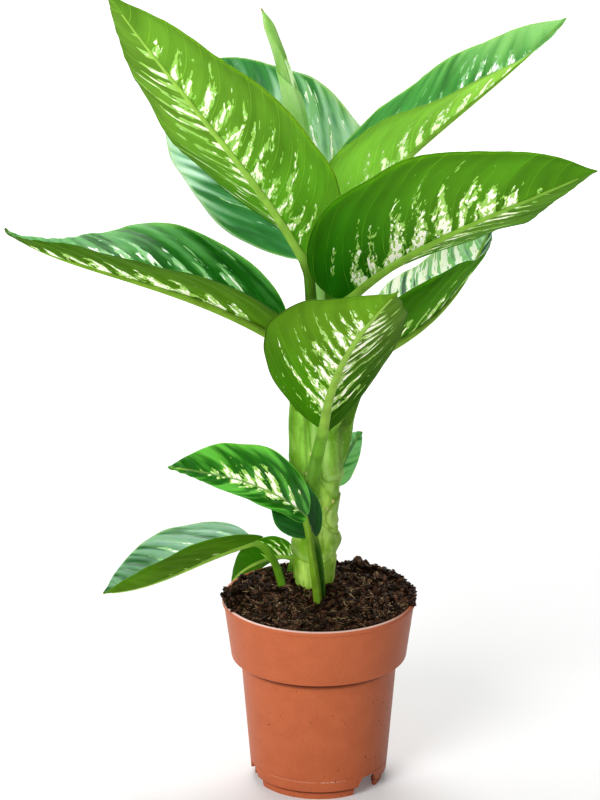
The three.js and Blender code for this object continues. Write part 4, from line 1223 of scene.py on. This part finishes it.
def soil_material():
    tree = Tree("potting_soil")
    tone = tree.attribute("tone", "Fac")
    position = tree.position()
    grain = tree.noise(position, 900.0, 3, 0.6)
    dark = tree.colour(tree.ramp(grain, 0.35, 0.7), (0.0022, 0.0007, 0.0003), (0.012, 0.0045, 0.0016))
    brown = tree.colour(tree.ramp(grain, 0.3, 0.7), (0.02, 0.0075, 0.003), (0.19, 0.085, 0.045))
    tan = tree.colour(tree.ramp(grain, 0.3, 0.7), (0.26, 0.15, 0.06), (0.8, 0.6, 0.32))
    colour = tree.colour(tree.ramp(tone, 0.3, 0.55), dark, brown)
    colour = tree.colour(tree.ramp(tone, 0.7, 0.9), colour, tan)
    tree.bump(grain, 0.0008, 0.8)
    tree.set(Base_Color=colour, Roughness=0.33, Specular_IOR_Level=0.14, Specular_Tint=(1, 0.6, 0.42, 1))
    return tree.material


def icosahedron():
    g = (1 + math.sqrt(5)) / 2
    points = [(-1, g, 0), (1, g, 0), (-1, -g, 0), (1, -g, 0), (0, -1, g), (0, 1, g),
              (0, -1, -g), (0, 1, -g), (g, 0, -1), (g, 0, 1), (-g, 0, -1), (-g, 0, 1)]
    faces = [(0, 11, 5), (0, 5, 1), (0, 1, 7), (0, 7, 10), (0, 10, 11), (1, 5, 9), (5, 11, 4),
             (11, 10, 2), (10, 7, 6), (7, 1, 8), (3, 9, 4), (3, 4, 2), (3, 2, 6), (3, 6, 8),
             (3, 8, 9), (4, 9, 5), (2, 4, 11), (6, 2, 10), (8, 6, 7), (9, 8, 1)]
    return np.array(points) / math.hypot(1, g), np.array(faces)


def random_turns(rng, count):
    """Random rotation matrices."""
    q = unit(rng.normal(size=(count, 4)))
    w, x, y, z = q.T
    return np.stack([
        triples(1 - 2 * (y * y + z * z), 2 * (x * y - z * w), 2 * (x * z + y * w)),
        triples(2 * (x * y + z * w), 1 - 2 * (x * x + z * z), 2 * (y * z - x * w)),
        triples(2 * (x * z - y * w), 2 * (y * z + x * w), 1 - 2 * (x * x + y * y)),
    ], 1)


def scattered(rng, count, radius):
    """Random places on the soil, out to the given radius."""
    r = radius * np.sqrt(rng.random(count))
    a = 2 * math.pi * rng.random(count)
    return r * np.cos(a), r * np.sin(a)


def crumbs(rng, count, radius, size, tones):
    x, y = scattered(rng, count, radius)
    return crumb_shapes(rng, x, y, soil_surface(x, y), size, tones)


def spilled_crumbs(rng, count, start, end, pile):
    """Crumbs heaped over the pot's rim between two angles, up to the height of the pile."""
    angle = rng.uniform(start, end, count)
    r = rng.uniform(SOIL_RADIUS - 5, RIM_RADIUS - 0.4, count)
    middle = 1 - np.abs(2 * (angle - start) / (end - start) - 1)
    inward = (RIM_RADIUS - r) / (RIM_RADIUS - SOIL_RADIUS + 5)
    z = POT_HEIGHT + 0.2 + rng.random(count) * pile * np.minimum(1, 3 * middle) * (0.35 + 0.65 * inward)
    x, y = r * np.sin(np.radians(angle)), -r * np.cos(np.radians(angle))
    return crumb_shapes(rng, x, y, z, 2.4, DARK_TONES)


def crumb_shapes(rng, x, y, z, size, tones):
    """Lumpy icosahedra at the given places, as points, faces and a tone for each point."""
    shape, triangles = icosahedron()
    count = len(x)
    scale = size * rng.uniform(0.35, 1.0, (count, 1)) ** 1.8 * rng.uniform(0.25, 1.55, (count, 3))
    lumpy = shape[None] * rng.uniform(0.65, 1.2, (count, 12, 1)) * scale[:, None, :]
    points = np.einsum("nij,nkj->nki", random_turns(rng, count), lumpy)
    points += triples(x, y, z + 0.3 * scale.min(axis=1))[:, None, :]
    faces = (triangles[None] + 12 * np.arange(count)[:, None, None]).reshape(-1, 3).tolist()
    tone = np.repeat(rng.choice(tones, count) + rng.uniform(-0.08, 0.08, count), 12)
    return points.reshape(-1, 3), faces, tone


def fibres(rng, count, radius):
    """Short bent threads that lie on the soil."""
    steps, sides = 6, 4
    t = np.linspace(-0.5, 0.5, steps)
    turn = once_round(sides)[:, None]
    x, y = scattered(rng, count, radius)
    heading = rng.uniform(0, 2 * math.pi, count)
    length = rng.uniform(5, 20, count)
    thick = rng.uniform(0.12, 0.3, count)
    bend = rng.uniform(-1.6, 1.6, count)
    lift = rng.uniform(0.2, 2.6, count)
    points = []
    for i in range(count):
        a = heading[i] + bend[i] * t
        px = x[i] + np.cumsum(np.cos(a)) * length[i] / steps
        py = y[i] + np.cumsum(np.sin(a)) * length[i] / steps
        keep = np.minimum(1, (SOIL_RADIUS - 0.6) / np.hypot(px, py))
        px, py = px * keep, py * keep
        pz = soil_surface(px, py) + 0.4 + lift[i] * (0.5 + t)
        centre = triples(px, py, pz)
        over = triples(-np.sin(a), np.cos(a), 0)
        r = thick[i] * (1 - 0.6 * np.abs(2 * t) ** 3)
        ring = np.cos(turn) * over[:, None] + np.sin(turn) * np.array([0, 0, 1])
        points.append(centre[:, None] + r[:, None, None] * ring)
    faces = []
    for i in range(count):
        start = i * steps * sides
        faces += grid_faces(steps, sides, start=start, closed=True)
        faces.append([start + j for j in range(sides)][::-1])
        faces.append([start + (steps - 1) * sides + j for j in range(sides)])
    tone = np.repeat(rng.choice([0.45, 0.5, 0.8, 1.0], count), steps * sides)
    return np.array(points).reshape(-1, 3), faces, tone


def make_soil():
    rings, sides = 110, 240
    r = np.linspace(0.4, SOIL_RADIUS, rings)
    a = once_round(sides)
    x, y = r[:, None] * np.cos(a), r[:, None] * np.sin(a)
    top = triples(x, y, soil_surface(x, y))
    skirt = top[-1:].copy()
    skirt[..., 2] = SOIL_EDGE_HEIGHT - 14
    points, faces = loft(np.concatenate([top, skirt]))
    faces = [face[::-1] for face in faces]
    tone = 0.2 + 0.25 * value_noise(points, 3, 31)
    material = soil_material()
    ground = add_mesh("soil_piece", points, faces, [material], {"tone": tone})
    finish_piece(ground, "potting_soil", "soil")

    rng = np.random.default_rng(7)
    parts = [crumbs(rng, count, SOIL_RADIUS - inset, *looks) for count, inset, *looks in CRUMBS]
    parts += [spilled_crumbs(rng, *spill) for spill in SPILLS]
    add_loose("soil_crumbs", parts, material)
    add_loose("soil_fibres", [fibres(rng, FIBRES, SOIL_RADIUS - 2)], material)


def add_loose(name, parts, material):
    """One object from several sets of points, faces and tones."""
    points, faces, tones = [], [], []
    count = 0
    for part_points, part_faces, part_tone in parts:
        points.append(part_points)
        faces += [[i + count for i in face] for face in part_faces]
        tones.append(part_tone)
        count += len(part_points)
    attributes = {"tone": np.concatenate(tones)}
    obj = add_mesh(name, np.concatenate(points), faces, [material], attributes, flat=True)
    finish_piece(obj, "potting_soil")


make_soil()


# Floor, light and camera, in metres except for the floor's size

FLOOR_SIZE = 8000
WORLD_STRENGTH = 0.26
LIGHTS = {
    "key": dict(place=(-1.35, -2.2, 2.0), target=(0, 0, 0.35), size=1.5, power=60),
    "top": dict(place=(-0.2, 1.3, 2.3), target=(0, 0, 0.4), size=1.6, power=52),
}
CAMERA_PLACE = (-0.0166, -2.892, 1.324)
CAMERA_TILT = 71.4
CAMERA_LENS = 159.5
SENSOR_WIDTH = 36


def make_floor():
    """A pale floor that gives off more light the further it is from the plant, so that it stays even."""
    points = [[x * FLOOR_SIZE, y * FLOOR_SIZE, 0] for x, y in ((-1, -1), (1, -1), (1, 1), (-1, 1))]
    tree = Tree("floor")
    away = tree.node("VectorMath", {0: tree.position()}, operation="LENGTH").outputs["Value"]
    glow = tree.times_plus(tree.ramp(away, 0.3, 2.6), 0.75, 0.12)
    tree.set(Base_Color=(0.8, 0.8, 0.8, 1), Roughness=0.9, Specular_IOR_Level=0.1)
    tree.set(Emission_Color=(1, 1, 1, 1), Emission_Strength=glow)
    floor = add_mesh("floor", points, [[0, 1, 2, 3]], [tree.material])


def add_light(name, place, target, size, power):
    data = bpy.data.lights.new(name, "AREA")
    data.shape = "DISK"
    data.size = size
    data.energy = power
    light = bpy.data.objects.new(name, data)
    light.location = place
    direction = np.array(target) - np.array(place)
    light.rotation_euler = Vector(direction).to_track_quat("-Z", "Y").to_euler()
    bpy.context.scene.collection.objects.link(light)


def make_studio():
    make_floor()
    for name, light in LIGHTS.items():
        add_light(name, **light)
    world = bpy.data.worlds.new("studio")
    world.use_nodes = True
    background = world.node_tree.nodes["Background"]
    background.inputs["Color"].default_value = (1, 1, 1, 1)
    background.inputs["Strength"].default_value = WORLD_STRENGTH
    bpy.context.scene.world = world
    bpy.context.scene.view_settings.view_transform = "Standard"


def make_camera():
    data = bpy.data.cameras.new("camera")
    data.sensor_width = SENSOR_WIDTH
    data.lens = CAMERA_LENS
    camera = bpy.data.objects.new("camera", data)
    camera.location = CAMERA_PLACE
    camera.rotation_euler = (math.radians(CAMERA_TILT), 0, 0)
    bpy.context.scene.collection.objects.link(camera)
    bpy.context.scene.camera = camera


make_studio()
make_camera()
